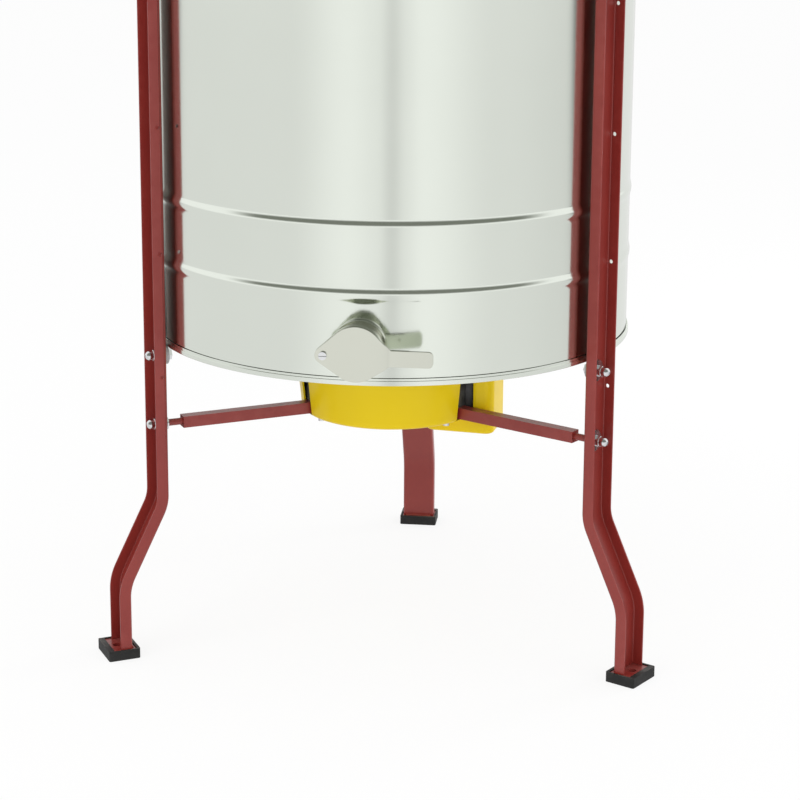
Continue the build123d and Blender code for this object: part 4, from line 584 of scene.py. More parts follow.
@dataclass(frozen=True)
class Finish:
    """A surface finish for one of the record's material slots."""

    slot: str
    colour: Colour
    tint: Colour
    roughness: float = 0.3
    spread: float = 0.1
    grain: Grain = Grain.EVEN
    depth: float = 0.00002
    tone_scale: float = 9.0
    tone: float = 0.5

    def extras(self, nodes: Wiring, effects: Effects, tone: Socket) -> dict[str, Any]:
        """What this kind of finish sets on its shader besides tone, grain and bump."""
        raise NotImplementedError

    def build(self, effects: Effects) -> bpy.types.Material:
        """Build the material.

        Args:
            effects: The shared node groups.

        Returns:
            The material.
        """
        material = bpy.data.materials.new(self.slot)
        material.use_nodes = True
        nodes = Wiring(material.node_tree)
        tone = nodes.effect(
            effects.mottle, Base=self.colour, Tint=self.tint, Scale=self.tone_scale, Amount=self.tone
        )["Color"]
        grain = nodes.effect(
            effects.grain, Waves=self.grain.value, Roughness=self.roughness, Spread=self.spread
        )
        bump = nodes.add("Bump", {"Height": grain["Height"], "Distance": self.depth}).outputs["Normal"]
        sockets = {"Base Color": tone, "Roughness": grain["Roughness"], "Normal": bump}
        sockets |= self.extras(nodes, effects, tone)
        nodes.feed(nodes.tree.nodes["Principled BSDF"], sockets)
        return material


@dataclass(frozen=True)
class MetalFinish(Finish):
    """Bare or plated metal with rolling or turning marks."""

    def extras(self, nodes: Wiring, effects: Effects, tone: Socket) -> dict[str, Any]:
        """Make the shader a metal."""
        return {"Metallic": 1.0}


@dataclass(frozen=True)
class CoatedFinish(Finish):
    """Paint, plastic or rubber that wears along its edges and takes dust."""

    edge: Colour = grey(0.5)
    wear: float = 0.3
    dust: float = 0.15
    coat: float = 0.0
    coat_roughness: float = 0.12
    gloss: float = 0.5

    def extras(self, nodes: Wiring, effects: Effects, tone: Socket) -> dict[str, Any]:
        """Lay wear and dust over the tone, and set the gloss and the clear coat.

        Args:
            nodes: The material's wiring.
            effects: The shared node groups.
            tone: The colour below.

        Returns:
            The shader's inputs.
        """
        worn = nodes.effect(effects.edge_wear, Amount=self.wear)["Mask"]
        dusty = nodes.effect(effects.dust, Amount=self.dust)["Mask"]
        return {
            "Base Color": nodes.mix(dusty, nodes.mix(worn, tone, self.edge), DUST_COLOUR),
            "Specular IOR Level": self.gloss,
            "Coat Weight": self.coat,
            "Coat Roughness": self.coat_roughness,
        }


@dataclass(frozen=True)
class ClearFinish(Finish):
    """Clear sheet with wiped patches on its gloss."""

    refraction: float = 1.15

    def extras(self, nodes: Wiring, effects: Effects, tone: Socket) -> dict[str, Any]:
        """Let the light through and vary the gloss."""
        wiped = nodes.effect(effects.smudge, Roughness=self.roughness)["Roughness"]
        return {"Roughness": wiped, "Transmission Weight": 1.0, "IOR": self.refraction}


FINISHES: tuple[Finish, ...] = (
    MetalFinish(
        "drum_steel", opaque(0.81, 0.85, 0.78), opaque(0.79, 0.83, 0.76),
        roughness=0.13, grain=Grain.AROUND, depth=0.000004,
    ),
    MetalFinish(
        "gate_steel", opaque(0.70, 0.715, 0.63), opaque(0.66, 0.675, 0.59),
        roughness=0.15, spread=0.12, depth=0.000006,
    ),
    MetalFinish(
        "zinc", opaque(0.80, 0.81, 0.82), opaque(0.70, 0.71, 0.73),
        roughness=0.20, spread=0.18, grain=Grain.COARSE, tone_scale=120.0,
    ),
    MetalFinish(
        "bare_steel", grey(0.62), grey(0.54),
        roughness=0.24, spread=0.15, grain=Grain.AROUND, depth=0.000008, tone_scale=30.0,
    ),
    MetalFinish(
        "basket_steel", grey(0.72), grey(0.66),
        roughness=0.22, spread=0.16, grain=Grain.ACROSS, depth=0.000006, tone_scale=14.0,
    ),
    MetalFinish(
        "aluminium", grey(0.70), grey(0.63),
        roughness=0.34, spread=0.2, grain=Grain.COARSE, depth=0.00003, tone_scale=40.0,
    ),
    CoatedFinish(
        "red_paint", opaque(0.225, 0.022, 0.017), opaque(0.255, 0.030, 0.022),
        roughness=0.36, grain=Grain.COARSE, depth=0.00006, tone_scale=14.0, tone=0.6,
        edge=opaque(0.34, 0.07, 0.06), wear=0.5, dust=0.10, coat=0.15,
    ),
    CoatedFinish(
        "yellow_plastic", opaque(0.76, 0.55, 0.004), opaque(0.78, 0.57, 0.008),
        tone_scale=16.0, tone=0.6, edge=opaque(0.84, 0.64, 0.06), wear=0.25, dust=0.03, gloss=0.22,
    ),
    CoatedFinish(
        "foot_rubber", grey(0.014), opaque(0.022, 0.022, 0.021),
        roughness=0.62, spread=0.2, grain=Grain.COARSE, depth=0.00015, tone_scale=40.0,
        edge=opaque(0.06, 0.06, 0.057), wear=0.6, dust=0.2, gloss=0.3,
    ),
    CoatedFinish(
        "seal_rubber", grey(0.03), grey(0.04),
        roughness=0.55, spread=0.2, depth=0.00005, tone_scale=60.0, edge=grey(0.08),
    ),
    CoatedFinish(
        "belt_rubber", grey(0.028), grey(0.045),
        roughness=0.7, spread=0.2, grain=Grain.COARSE, depth=0.0002, tone_scale=80.0, edge=grey(0.09),
    ),
    CoatedFinish(
        "black_paint", grey(0.022), grey(0.030),
        roughness=0.42, spread=0.15, grain=Grain.COARSE, depth=0.00008, tone_scale=20.0, edge=grey(0.16),
    ),
    CoatedFinish(
        "nylon", grey(0.70, 0.02), grey(0.64, 0.03),
        roughness=0.45, depth=0.00003, tone_scale=30.0, edge=grey(0.8),
    ),
    CoatedFinish(
        "handle_black", grey(0.020), grey(0.030),
        roughness=0.48, spread=0.16, grain=Grain.COARSE, depth=0.0001, tone_scale=40.0, edge=grey(0.10),
    ),
    CoatedFinish(
        "box_grey", grey(0.34), grey(0.38),
        roughness=0.46, spread=0.14, grain=Grain.COARSE, depth=0.00012, tone_scale=20.0, edge=grey(0.55),
    ),
    CoatedFinish(
        "panel_grey", grey(0.085), grey(0.105),
        roughness=0.40, spread=0.12, depth=0.00004, tone_scale=30.0, edge=grey(0.30),
    ),
    CoatedFinish(
        "green_button", opaque(0.02, 0.30, 0.06), opaque(0.03, 0.34, 0.08),
        roughness=0.28, tone_scale=60.0, edge=opaque(0.12, 0.45, 0.18), coat=0.3,
    ),
    CoatedFinish(
        "red_button", opaque(0.45, 0.02, 0.02), opaque(0.50, 0.03, 0.03),
        roughness=0.28, tone_scale=60.0, edge=opaque(0.60, 0.12, 0.10), coat=0.3,
    ),
    ClearFinish(
        "clear_lid", opaque(0.93, 0.97, 0.97), opaque(0.90, 0.95, 0.95),
        roughness=0.04, spread=0.02, depth=0.000002,
    ),
)


class Palette:
    """Materials by slot name."""

    def __init__(self) -> None:
        """Build every finish."""
        effects = Effects()
        self.materials = {finish.slot: finish.build(effects) for finish in FINISHES}

    def paint(self, piece: Piece, slot: str) -> None:
        """Give a piece one finish all over."""
        piece.data.materials.clear()
        piece.data.materials.append(self.materials[slot])

    def dress(self, node: str, slot: str) -> None:
        """Give a CAD node its finish."""
        for place in frame["nodes"][node].material_slots:
            place.material = self.materials[slot]


@dataclass
class Assembly:
    """A sub-assembly that dresses its pieces from the palette."""

    palette: Palette

    def keep(self, piece: Piece, slot: str, body: str, *nodes: str) -> None:
        """Finish a piece and say what it rides on and stands for.

        Args:
            piece: The finished mesh.
            slot: The record's material slot.
            body: The body it moves with.
            nodes: CAD nodes that it replaces.
        """
        self.palette.paint(piece, slot)
        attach(piece, body)
        if nodes:
            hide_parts(*nodes)
        LOG.info("%s: %d faces, %s, on %s", piece.name, len(piece.data.polygons), slot, body)

    def soften(self, node: str, name: str, width: float, slot: str, body: str = "frame") -> None:
        """Replace a CAD node with a copy whose edges are rounded.

        Args:
            node: The CAD node.
            name: Name of the new piece.
            width: Width of the rounding.
            slot: The record's material slot.
            body: The body it moves with.
        """
        self.keep(Workbench.soft_copy(node, name, width), slot, body, node)


@dataclass
class Drum(Assembly):
    """Rolled drum wall with beads and a curled rim, and the folded cone bottom."""

    radius: float = 0.315
    sheet: float = 0.001
    wall_bottom: float = 0.41465
    top: float = 1.0185
    support: float = 0.003
    bead_middles: tuple[float, ...] = (0.523, 0.6065, 0.905)
    bead_half: float = 0.0115
    bead_rise: float = 0.0018
    rim_radius: float = 0.0045
    rim_end: float = -120.0
    outlet_height: float = 0.4615
    outlet_hole: float = 0.03015
    outlet_depth: float = 0.05
    seam_gap: float = 0.0002
    seam_bottom: float = 0.4125
    seam_top: float = 0.4215
    seam_steps: tuple[tuple[float, float], ...] = ((0.3158, 0.4215), (0.3168, 0.4184))
    seam_fold: float = 0.0003
    seam_inset: float = 0.003
    cone_under: tuple[float, float] = (0.3114, 0.4137)
    cone_over: tuple[float, float] = (0.3124, 0.4157)
    neck_inside: float = 0.0235
    neck_outside: float = 0.0265
    neck_edge: float = 0.0003
    neck_top: float = 0.4857
    neck_under: float = 0.4661
    neck_over: float = 0.4677

    def bead(self, middle: float) -> Profile:
        """Inside line of one bead, from its lower end to its upper end.

        Args:
            middle: Height of the bead's middle.

        Returns:
            The line as (radius, height).
        """
        bend = (self.bead_half ** 2 + self.bead_rise ** 2) / (4 * self.bead_rise)
        lean = math.degrees(math.asin(self.bead_half / (2 * bend)))
        foot = (self.radius + bend, middle - self.bead_half)
        crest = (self.radius + self.bead_rise - bend, middle)
        lower = arc(foot, bend + self.sheet, 180, 180 - lean, steps=6)
        line = lower[:-1] + arc(crest, bend - self.sheet, -lean, lean, steps=10)
        return line + [(radius, 2 * middle - height) for radius, height in reversed(lower[:-1])]

    def wall_line(self) -> Profile:
        """Inside line of the wall, from the seam to the end of the curled rim.

        Returns:
            The line as (radius, height).
        """
        inside = self.radius - self.sheet
        line = [(inside, self.wall_bottom), (inside, self.seam_top + self.support)]
        for middle in self.bead_middles:
            line.append((inside, middle - self.bead_half - self.support))
            line += self.bead(middle)
            line.append((inside, middle + self.bead_half + self.support))
        line.append((inside, self.top - self.rim_radius))
        curl = (inside + self.rim_radius, self.top)
        return line + arc(curl, self.rim_radius, 180, self.rim_end, steps=20)

    def build_wall(self) -> None:
        """Turn the wall, give it its sheet and cut the outlet."""
        wall = Workbench.lathe("drum_wall", self.wall_line(), steps=240)
        Workbench.thicken(wall, self.sheet, side=1.0)
        place = outward(self.radius, self.outlet_height)
        cutter = Workbench.rod("outlet_cutter", self.outlet_hole, self.outlet_depth, place, sides=64)
        Workbench.cut(wall, cutter)
        Workbench.polish(wall)
        self.keep(wall, "drum_steel", "frame", "drum_shell")

    def base_line(self) -> Profile:
        """Closed outline of the seam, the cone and its neck.

        Returns:
            The outline as (radius, height).
        """
        fold = self.seam_fold
        radius = self.radius + self.seam_gap
        line = [(radius, self.wall_bottom)]
        for wider, height in self.seam_steps:
            line.append((radius, height))
            line += arc((wider - fold, height - fold), fold, 90, 0, steps=3)
            radius = wider
        line += arc((radius - 2 * fold, self.seam_bottom + 2 * fold), 2 * fold, 0, -90, steps=4)
        line += [(self.radius - self.seam_inset, self.seam_bottom), self.cone_under]
        line += [(self.neck_inside, self.neck_under), (self.neck_inside, self.neck_top)]
        line += [(self.neck_outside - self.neck_edge, self.neck_top)]
        line += [(self.neck_outside, self.neck_top - self.neck_edge), (self.neck_outside, self.neck_over)]
        line += [self.cone_over, (self.radius - self.sheet - self.seam_gap, self.wall_bottom)]
        return line + [line[0]]

    def build_base(self) -> None:
        """Turn the bottom from its outline."""
        base = Workbench.lathe("drum_base", self.base_line(), steps=192)
        Workbench.polish(base, angle=30.0)
        self.keep(base, "drum_steel", "frame", "drum_bottom")

    def build(self) -> None:
        """Build the drum."""
        self.build_wall()
        self.build_base()


@dataclass
class HoneyGate(Assembly):
    """Cast gate body, its turning flap and the pivot screw."""

    body_edge: float = 0.0012
    flap_edge: float = 0.0008
    screw_edge: float = 0.0004

    def build(self) -> None:
        """Build the gate."""
        self.soften("gate_body", "gate_casting", self.body_edge, "gate_steel")
        self.soften("gate_flap", "gate_flap_plate", self.flap_edge, "gate_steel", "gate_flap")
        self.soften("gate_pivot_screw", "gate_pivot", self.screw_edge, "zinc")


@dataclass
class Legs(Assembly):
    """Three folded channel legs on rubber feet."""

    half_width: float = 0.02325
    web: float = 0.3213
    depth: float = 0.0162
    sheet: float = 0.0025
    sheet_edge: float = 0.0006
    fold: float = 0.004
    top: float = 0.990
    bend: float = 0.060
    upper_bend: float = 0.2172
    lower_bend: float = 0.0818
    lean: float = 26.65
    slope: float = 0.0913
    foot_web: float = 0.375
    plate_top: float = 0.012
    plate_size: Triple = (0.049, 0.030, 0.004)
    plate_edge: float = 0.0007
    plate_middle: float = 0.3851
    anchor: float = 0.390
    anchor_hole: float = 0.0053
    anchor_depth: float = 0.03
    weld_radius: float = 0.0022
    weld_share: float = 1.6
    weld_ripple: float = 0.0003
    weld_pitch: float = 0.0035
    hole_radius: float = 0.0025
    hole_distance: float = 0.328
    hole_start: float = 0.376
    hole_pitch: float = 0.1615
    holes: int = 4
    foot_edge: float = 0.0014

    def section(self) -> list[Point]:
        """Outside line of the channel at the leg's top, from one flange tip to the other.

        Returns:
            The line's points.
        """
        corner = (-self.half_width + self.fold, self.web + self.fold)
        half = [(-self.half_width, self.web + self.depth)] + arc(corner, self.fold, 180, 270, steps=6)
        line = half + [(-x, distance) for x, distance in reversed(half)]
        return [(x, -distance, self.top) for x, distance in line]

    def fold_channel(self) -> Piece:
        """Draw the section down the leg's two bends and give it its sheet.

        Returns:
            The channel of a leg that faces the front.
        """
        lean = math.radians(self.lean)
        leg = Workbench.draw("leg_channel", self.section())
        with Workbench.editing(leg):
            Workbench.pull((0.0, 0.0, self.upper_bend - self.top))
            Workbench.swing(-lean, (0.0, -self.web - self.bend, self.upper_bend), ALONG_X, steps=10)
            Workbench.pull((0.0, -self.slope * math.sin(lean), -self.slope * math.cos(lean)))
            Workbench.swing(lean, (0.0, self.bend - self.foot_web, self.lower_bend), ALONG_X, steps=10)
            Workbench.pull((0.0, 0.0, self.plate_top - self.lower_bend))
            Workbench.close_up()
        web = max(leg.data.polygons, key=lambda face: face.area)
        if web.normal.y < 0:
            leg.data.flip_normals()
        Workbench.thicken(leg, self.sheet, side=-1.0)
        return leg

    def drill(self, leg: Piece) -> None:
        """Drill the row of holes through one flange.

        Args:
            leg: The channel.
        """
        across = Matrix.Rotation(math.pi / 2, 4, "Y")
        cutters = []
        for step in range(self.holes):
            height = self.hole_start + step * self.hole_pitch
            place = Matrix.Translation((self.half_width, -self.hole_distance, height)) @ across
            name = f"hole_cutter_{step}"
            cutters.append(Workbench.rod(name, self.hole_radius, 4 * self.sheet, place, sides=24))
        Workbench.cut(leg, Workbench.join("hole_cutters", cutters))

    def foot_plate(self) -> Piece:
        """Make the welded plate under the leg, with its anchor hole.

        Returns:
            The plate.
        """
        middle = (0.0, -self.plate_middle, self.plate_top - self.plate_size[2] / 2)
        plate = Workbench.block("foot_plate", self.plate_size, middle)
        with Workbench.editing(plate):
            bpy.ops.mesh.bevel(offset=self.plate_edge, segments=2, affect="EDGES")
        place = Matrix.Translation((0.0, -self.anchor, self.plate_top))
        cutter = Workbench.rod("anchor_cutter", self.anchor_hole, self.anchor_depth, place, sides=32)
        Workbench.cut(plate, cutter)
        return plate

    def weld(self) -> Piece:
        """Make the rippled weld bead along the inside of the web, on the foot plate.

        Returns:
            The bead.
        """
        across = Matrix.Rotation(math.pi / 2, 4, "Y")
        place = Matrix.Translation((0.0, -self.foot_web, self.plate_top)) @ across
        length = self.weld_share * self.half_width
        bead = Workbench.rod("weld_bead", self.weld_radius, length, place, sides=16)
        with Workbench.editing(bead):
            bpy.ops.mesh.subdivide(number_cuts=9)
        for point in bead.data.vertices:
            ripple = self.weld_ripple * math.sin(point.co.x * 2 * math.pi / self.weld_pitch)
            point.co.z += ripple if point.co.z > self.plate_top else 0.0
        return bead

    def build(self) -> None:
        """Build one leg and stand a copy at each side; round the rubber feet."""
        leg = self.fold_channel()
        self.drill(leg)
        Workbench.ease(leg, self.sheet_edge, angle=50.0)
        leg = Workbench.join("leg_channel", [leg, self.foot_plate(), self.weld()])
        Workbench.polish(leg)
        for side in LegSide:
            copy = Workbench.twin(leg, f"leg_{side.label}_channel", side.turn)
            self.keep(copy, "red_paint", "frame", f"leg_{side.label}")
            self.soften(f"foot_{side.label}", f"foot_{side.label}_rubber", self.foot_edge, "foot_rubber")
        bpy.data.objects.remove(leg, do_unlink=True)


@dataclass
class LegFasteners(Assembly):
    """Domed nuts on broad washers, three to a leg."""

    heights: tuple[float, ...] = (0.308, 0.400, 0.9735)
    seat: float = 0.3238
    washer_radius: float = 0.0142
    washer_hole: float = 0.0043
    washer_sheet: float = 0.0016
    washer_edge: float = 0.0003
    across: float = 0.013
    nut_edge: float = 0.0007
    base: float = 0.008
    neck: float = 0.0035
    dome: float = 0.00625
    dome_sink: float = 0.001
    dome_support: float = 0.0004

    def washer(self) -> Piece:
        """Turn one washer with broken edges.

        Returns:
            The washer, standing on the origin.
        """
        edge, sheet = self.washer_edge, self.washer_sheet
        inner, outer = self.washer_hole, self.washer_radius
        line = [(inner, 0.0), (outer - edge, 0.0), (outer, edge), (outer, sheet - edge)]
        line += [(outer - edge, sheet), (inner + edge, sheet), (inner, sheet - edge), (inner, 0.0)]
        return Workbench.lathe("washer", line, steps=48)

    def nut(self) -> Piece:
        """Make one domed nut: a hexagon with eased corners under a turned dome.

        Returns:
            The nut, standing on the origin.
        """
        middle = Matrix.Translation((0.0, 0.0, self.base / 2))
        hexagon = Workbench.rod("nut_hexagon", self.across / math.sqrt(3), self.base, middle, sides=6)
        Workbench.ease(hexagon, self.nut_edge, segments=3, angle=30.0)
        line = [(self.dome, self.base - self.dome_sink), (self.dome, self.base + self.dome_support)]
        line += arc((0.0, self.base + self.neck), self.dome, 0, 90, steps=10)
        return Workbench.join("domed_nut", [hexagon, Workbench.lathe("nut_dome", line, steps=32)])

    def spread(self, name: str, node: str, piece: Piece, distance: float) -> None:
        """Put a copy of a piece at every bolt of every leg, joined in one set.

        Args:
            name: Name of the set.
            node: The CAD node that it replaces.
            piece: The piece, standing on the origin.
            distance: Distance of its seat from the drum axis.
        """
        places = [side.turn @ outward(distance, height) for side in LegSide for height in self.heights]
        copies = [Workbench.twin(piece, f"{name}_{step}", place) for step, place in enumerate(places)]
        bpy.data.objects.remove(piece, do_unlink=True)
        joined = Workbench.join(name, copies)
        Workbench.polish(joined)
        self.keep(joined, "zinc", "frame", node)

    def build(self) -> None:
        """Build the washers and the nuts."""
        self.spread("leg_washer_set", "leg_washers", self.washer(), self.seat)
        self.spread("domed_nut_set", "acorn_nuts", self.nut(), self.seat + self.washer_sheet)


@dataclass
class DriveUnit(Assembly):
    """Square arms, moulded drive cover and motor cover."""

    arm_edge: float = 0.0014
    cover_edge: float = 0.0007

    def build(self) -> None:
        """Round the edges of what shows under the drum."""
        for side in LegSide:
            self.soften(f"arm_{side.label}", f"arm_{side.label}_tube", self.arm_edge, "red_paint")
        for cover in ("drive_cover", "motor_cover"):
            self.soften(cover, f"{cover}_moulding", self.cover_edge, "yellow_plastic")


@dataclass
class BridgeAndLids(Assembly):
    """Bridge with the top bearing, and two clear lids with bow handles."""

    bridge_edge: float = 0.0008
    housing_edge: float = 0.0009
    cap_edge: float = 0.0006
    lid_edge: float = 0.0007
    hinge_edge: float = 0.0003
    lid_top: float = 1.0273
    handle_distance: float = 0.233
    handle_half: float = 0.045
    handle_rise: float = 0.030
    handle_bend: float = 0.012
    rod: float = 0.0045
    foot_radius: float = 0.010
    foot_height: float = 0.003
    foot_edge: float = 0.0009

    def bow(self) -> Piece:
        """Draw the bow of the front handle from a disc pulled round two bends.

        Returns:
            The bow.
        """
        height = self.lid_top + self.handle_rise - self.handle_bend
        start = (-self.handle_half, -self.handle_distance, self.lid_top)
        Workbench.clear()
        bpy.ops.mesh.primitive_circle_add(vertices=24, radius=self.rod, location=start, fill_type="NGON")
        bpy.ops.object.transform_apply(location=True, rotation=True, scale=True)
        bow = Workbench.started("handle_bow")
        inner = self.handle_half - self.handle_bend
        with Workbench.editing(bow):
            Workbench.pull((0.0, 0.0, height - self.lid_top))
            Workbench.swing(math.pi / 2, (-inner, -self.handle_distance, height), ALONG_Y, steps=10)
            Workbench.pull((2 * inner, 0.0, 0.0))
            Workbench.swing(math.pi / 2, (inner, -self.handle_distance, height), ALONG_Y, steps=10)
            Workbench.pull((0.0, 0.0, self.lid_top - height))
            Workbench.close_up()
        return bow

    def handle_foot(self, side: float) -> Piece:
        """Turn one round foot of the front handle.

        Args:
            side: Triple along X.

        Returns:
            The foot.
        """
        edge, radius, height = self.foot_edge, self.foot_radius, self.foot_height
        line = [(0.0, 0.0), (radius, 0.0)] + arc((radius - edge, height - edge), edge, 0, 90, steps=4)
        foot = Workbench.lathe("handle_foot", line + [(0.0, height)], steps=40)
        Workbench.settle(foot, Matrix.Translation((side, -self.handle_distance, self.lid_top)))
        return foot

    def build_handles(self) -> None:
        """Build the front handle and turn a copy to the rear lid."""
        feet = [self.handle_foot(side) for side in (-self.handle_half, self.handle_half)]
        front = Workbench.join("lid_front_bow", [self.bow(), *feet])
        Workbench.polish(front)
        rear = Workbench.twin(front, "lid_rear_bow", Matrix.Rotation(math.pi, 4, "Z"))
        self.keep(front, "handle_black", "lid_front", "lid_front_handle")
        self.keep(rear, "handle_black", "lid_rear", "lid_rear_handle")

    def build(self) -> None:
        """Build the bridge, the lids and their handles."""
        self.soften("bridge", "bridge_channel", self.bridge_edge, "basket_steel")
        self.soften("bearing_housings", "bearing_blocks", self.housing_edge, "aluminium")
        self.soften("bearing_cap", "bearing_dust_cap", self.cap_edge, "aluminium")
        for body in ("lid_front", "lid_rear"):
            self.soften(body, f"{body}_sheet", self.lid_edge, "clear_lid", body)
            self.soften(f"{body}_hinges", f"{body}_hinge_leaves", self.hinge_edge, "basket_steel", body)
        self.build_handles()


@dataclass
class Controls(Assembly):
    """Control box on the right leg with its knob, dial and two buttons."""

    face: float = 0.40765
    box_edge: float = 0.0012
    panel_edge: float = 0.0006
    grip_edge: float = 0.0005
    button_height: float = 0.935
    button_side: float = 0.025
    button_radius: float = 0.008
    button_seat: float = 0.006
    button_flange: tuple[float, float] = (0.010, 0.003)
    start_fold: float = 0.002
    stop_cap: tuple[tuple[float, float], ...] = (
        (0.0, 0.014), (0.007, 0.01375), (0.0115, 0.0129), (0.0142, 0.0113),
        (0.0157, 0.0093), (0.016, 0.0078), (0.0155, 0.0062),
    )
    bezel_line: tuple[tuple[float, float], ...] = (
        (0.0085, 0.0), (0.0108, 0.0), (0.0106, 0.0005), (0.0098, 0.0008), (0.0085, 0.0007), (0.0085, 0.0),
    )
    knob_height: float = 0.995
    dial_radius: float = 0.023
    marks: int = 11
    sweep: float = 270.0
    mark_size: Triple = (0.0010, 0.0030, 0.0003)
    long_mark: float = 0.0045
    mark_edge: float = 0.0001
    number_radius: float = 0.0295
    number_size: float = 0.0058
    number_rise: float = 0.0001

    def on_panel(self, side: float, height: float) -> Matrix:
        """Place on the panel, to the right of its middle, whose local Z points out of it."""
        return LegSide.RIGHT.turn @ outward(self.face, height, side)

    def turned(self, name: str, line: Profile, side: float) -> Piece:
        """Turn a piece from its line and set it at a button's place on the panel.

        Args:
            name: Name of the piece.
            line: Points as (radius, height above the panel).
            side: Offset of the button.

        Returns:
            The piece.
        """
        piece = Workbench.lathe(name, line, steps=48)
        Workbench.settle(piece, self.on_panel(side, self.button_height))
        return piece

    def build_buttons(self) -> None:
        """Turn the start button, the stop button with its broad cap, and a bezel for each."""
        radius, seat, fold = self.button_radius, self.button_seat, self.start_fold
        wide, sheet = self.button_flange
        stem = [(radius, -seat), (wide, -seat), (wide, -seat - sheet), (0.0, -seat - sheet)]
        low = [(0.0, seat)] + arc((radius - fold, seat - fold), fold, 90, 0, steps=6) + stem
        broad = [*self.stop_cap, (radius, seat)] + stem
        for name, line, side, slot in (
            ("start_button", low, -self.button_side, "green_button"),
            ("stop_button", broad, self.button_side, "red_button"),
        ):
            button = self.turned(f"{name}_cap", line, side)
            Workbench.polish(button)
            self.keep(button, slot, name, name)
        sides = (-self.button_side, self.button_side)
        bezels = [self.turned("button_bezel", list(self.bezel_line), side) for side in sides]
        joined = Workbench.join("button_bezels", bezels)
        Workbench.polish(joined)
        self.keep(joined, "zinc", "frame")

    def dial_angle(self, step: int) -> float:
        """Angle of a dial mark from straight up, clockwise, in radians."""
        return math.radians(-self.sweep / 2 + self.sweep * step / (self.marks - 1))

    def dial_mark(self, step: int) -> Piece:
        """Make one raised mark of the dial, longer at every fifth.

        Args:
            step: Number of the mark.

        Returns:
            The mark.
        """
        width, length, rise = self.mark_size
        size = (width, length if step % 5 else self.long_mark, rise)
        mark = Workbench.block(f"dial_mark_{step}", size, (0.0, self.dial_radius, 0.0))
        with Workbench.editing(mark):
            bpy.ops.mesh.bevel(offset=self.mark_edge, segments=1, affect="EDGES")
        turn = Matrix.Rotation(-self.dial_angle(step), 4, "Z")
        Workbench.settle(mark, self.on_panel(0.0, self.knob_height) @ turn)
        return mark

    def dial_number(self, step: int) -> Piece:
        """Make one plain number of the dial.

        Args:
            step: The number.

        Returns:
            The number as a mesh.
        """
        Workbench.clear()
        bpy.ops.object.text_add()
        text = bpy.context.object.data
        text.body = str(step)
        text.size = self.number_size
        text.extrude = self.number_rise
        text.align_x = "CENTER"
        text.align_y = "CENTER"
        bpy.ops.object.convert(target="MESH")
        number = Workbench.started(f"dial_number_{step}")
        angle = self.dial_angle(step)
        side = self.number_radius * math.sin(angle)
        height = self.knob_height + self.number_radius * math.cos(angle)
        Workbench.settle(number, self.on_panel(side, height))
        return number

    def build_dial(self) -> None:
        """Build the ring of marks and numbers round the knob."""
        marks = [self.dial_mark(step) for step in range(self.marks)]
        numbers = [self.dial_number(step) for step in range(self.marks)]
        dial = Workbench.join("speed_dial", marks + numbers)
        Workbench.polish(dial)
        self.keep(dial, "nylon", "frame")

    def build(self) -> None:
        """Build the box, its panel and everything on it."""
        self.soften("control_box", "control_housing", self.box_edge, "box_grey")
        self.soften("control_panel", "control_face", self.panel_edge, "panel_grey")
        self.soften("cable_glands", "gland_pair", self.grip_edge, "handle_black")
        self.soften("speed_knob", "speed_knob_grip", self.grip_edge, "handle_black", "speed_knob")
        self.build_buttons()
        self.build_dial()


@dataclass
class CarriedNodes(Assembly):
    """CAD nodes whose shape is kept, with their finishes."""

    def build(self) -> None:
        """Dress every node from the record's slots."""
        for part in frame["record"]["subparts"]:
            self.palette.dress(part["node"], part["material_slot"])


@dataclass(frozen=True)
class Lamp:
    """A soft square lamp that metal doesn't mirror."""

    name: str
    place: Triple
    size: float
    power: float

    def hang(self, target: Point) -> None:
        """Hang the lamp and turn it to a target.

        Args:
            target: The point that it looks at.
        """
        Workbench.clear()
        bpy.ops.object.light_add(type="AREA", location=self.place)
        lamp = bpy.context.object
        lamp.name = self.name
        lamp.data.size = self.size
        lamp.data.energy = self.power
        lamp.visible_glossy = False
        aim = Vector(target) - Vector(self.place)
        lamp.rotation_euler = aim.to_track_quat("-Z", "Y").to_euler()


LAMPS = (
    Lamp("key_lamp", (-2.2, -2.6, 3.4), size=2.4, power=36.0),
    Lamp("side_lamp", (3.2, -1.2, 2.4), size=2.0, power=8.0),
    Lamp("back_lamp", (2.4, 1.6, 0.45), size=0.8, power=34.0),
    Lamp("front_lamp", (0.6, -3.4, 0.7), size=1.6, power=18.0),
)

# Painted reflection: brightness of the floor as steel mirrors it, by the direction from the drum in
# degrees from the front; dark and bright bands that only mirrored rays see.
LEFT_PAINTED_DARK_BAND = {-132: 0.84, -124: 0.02, -111: 0.02, -106: 0.81}
PAINTED_BRIGHT_BANDS = {-40: 0.82, -12: 0.985, 1: 0.91, 7: 0.71, 13: 0.90, 20: 1.0, 56: 0.825}
RIGHT_PAINTED_DARK_BAND = {95: 0.76, 100: 0.02, 113: 0.02, 120: 0.84}
PAINTED_FLOOR_REFLECTION = LEFT_PAINTED_DARK_BAND | PAINTED_BRIGHT_BANDS | RIGHT_PAINTED_DARK_BAND


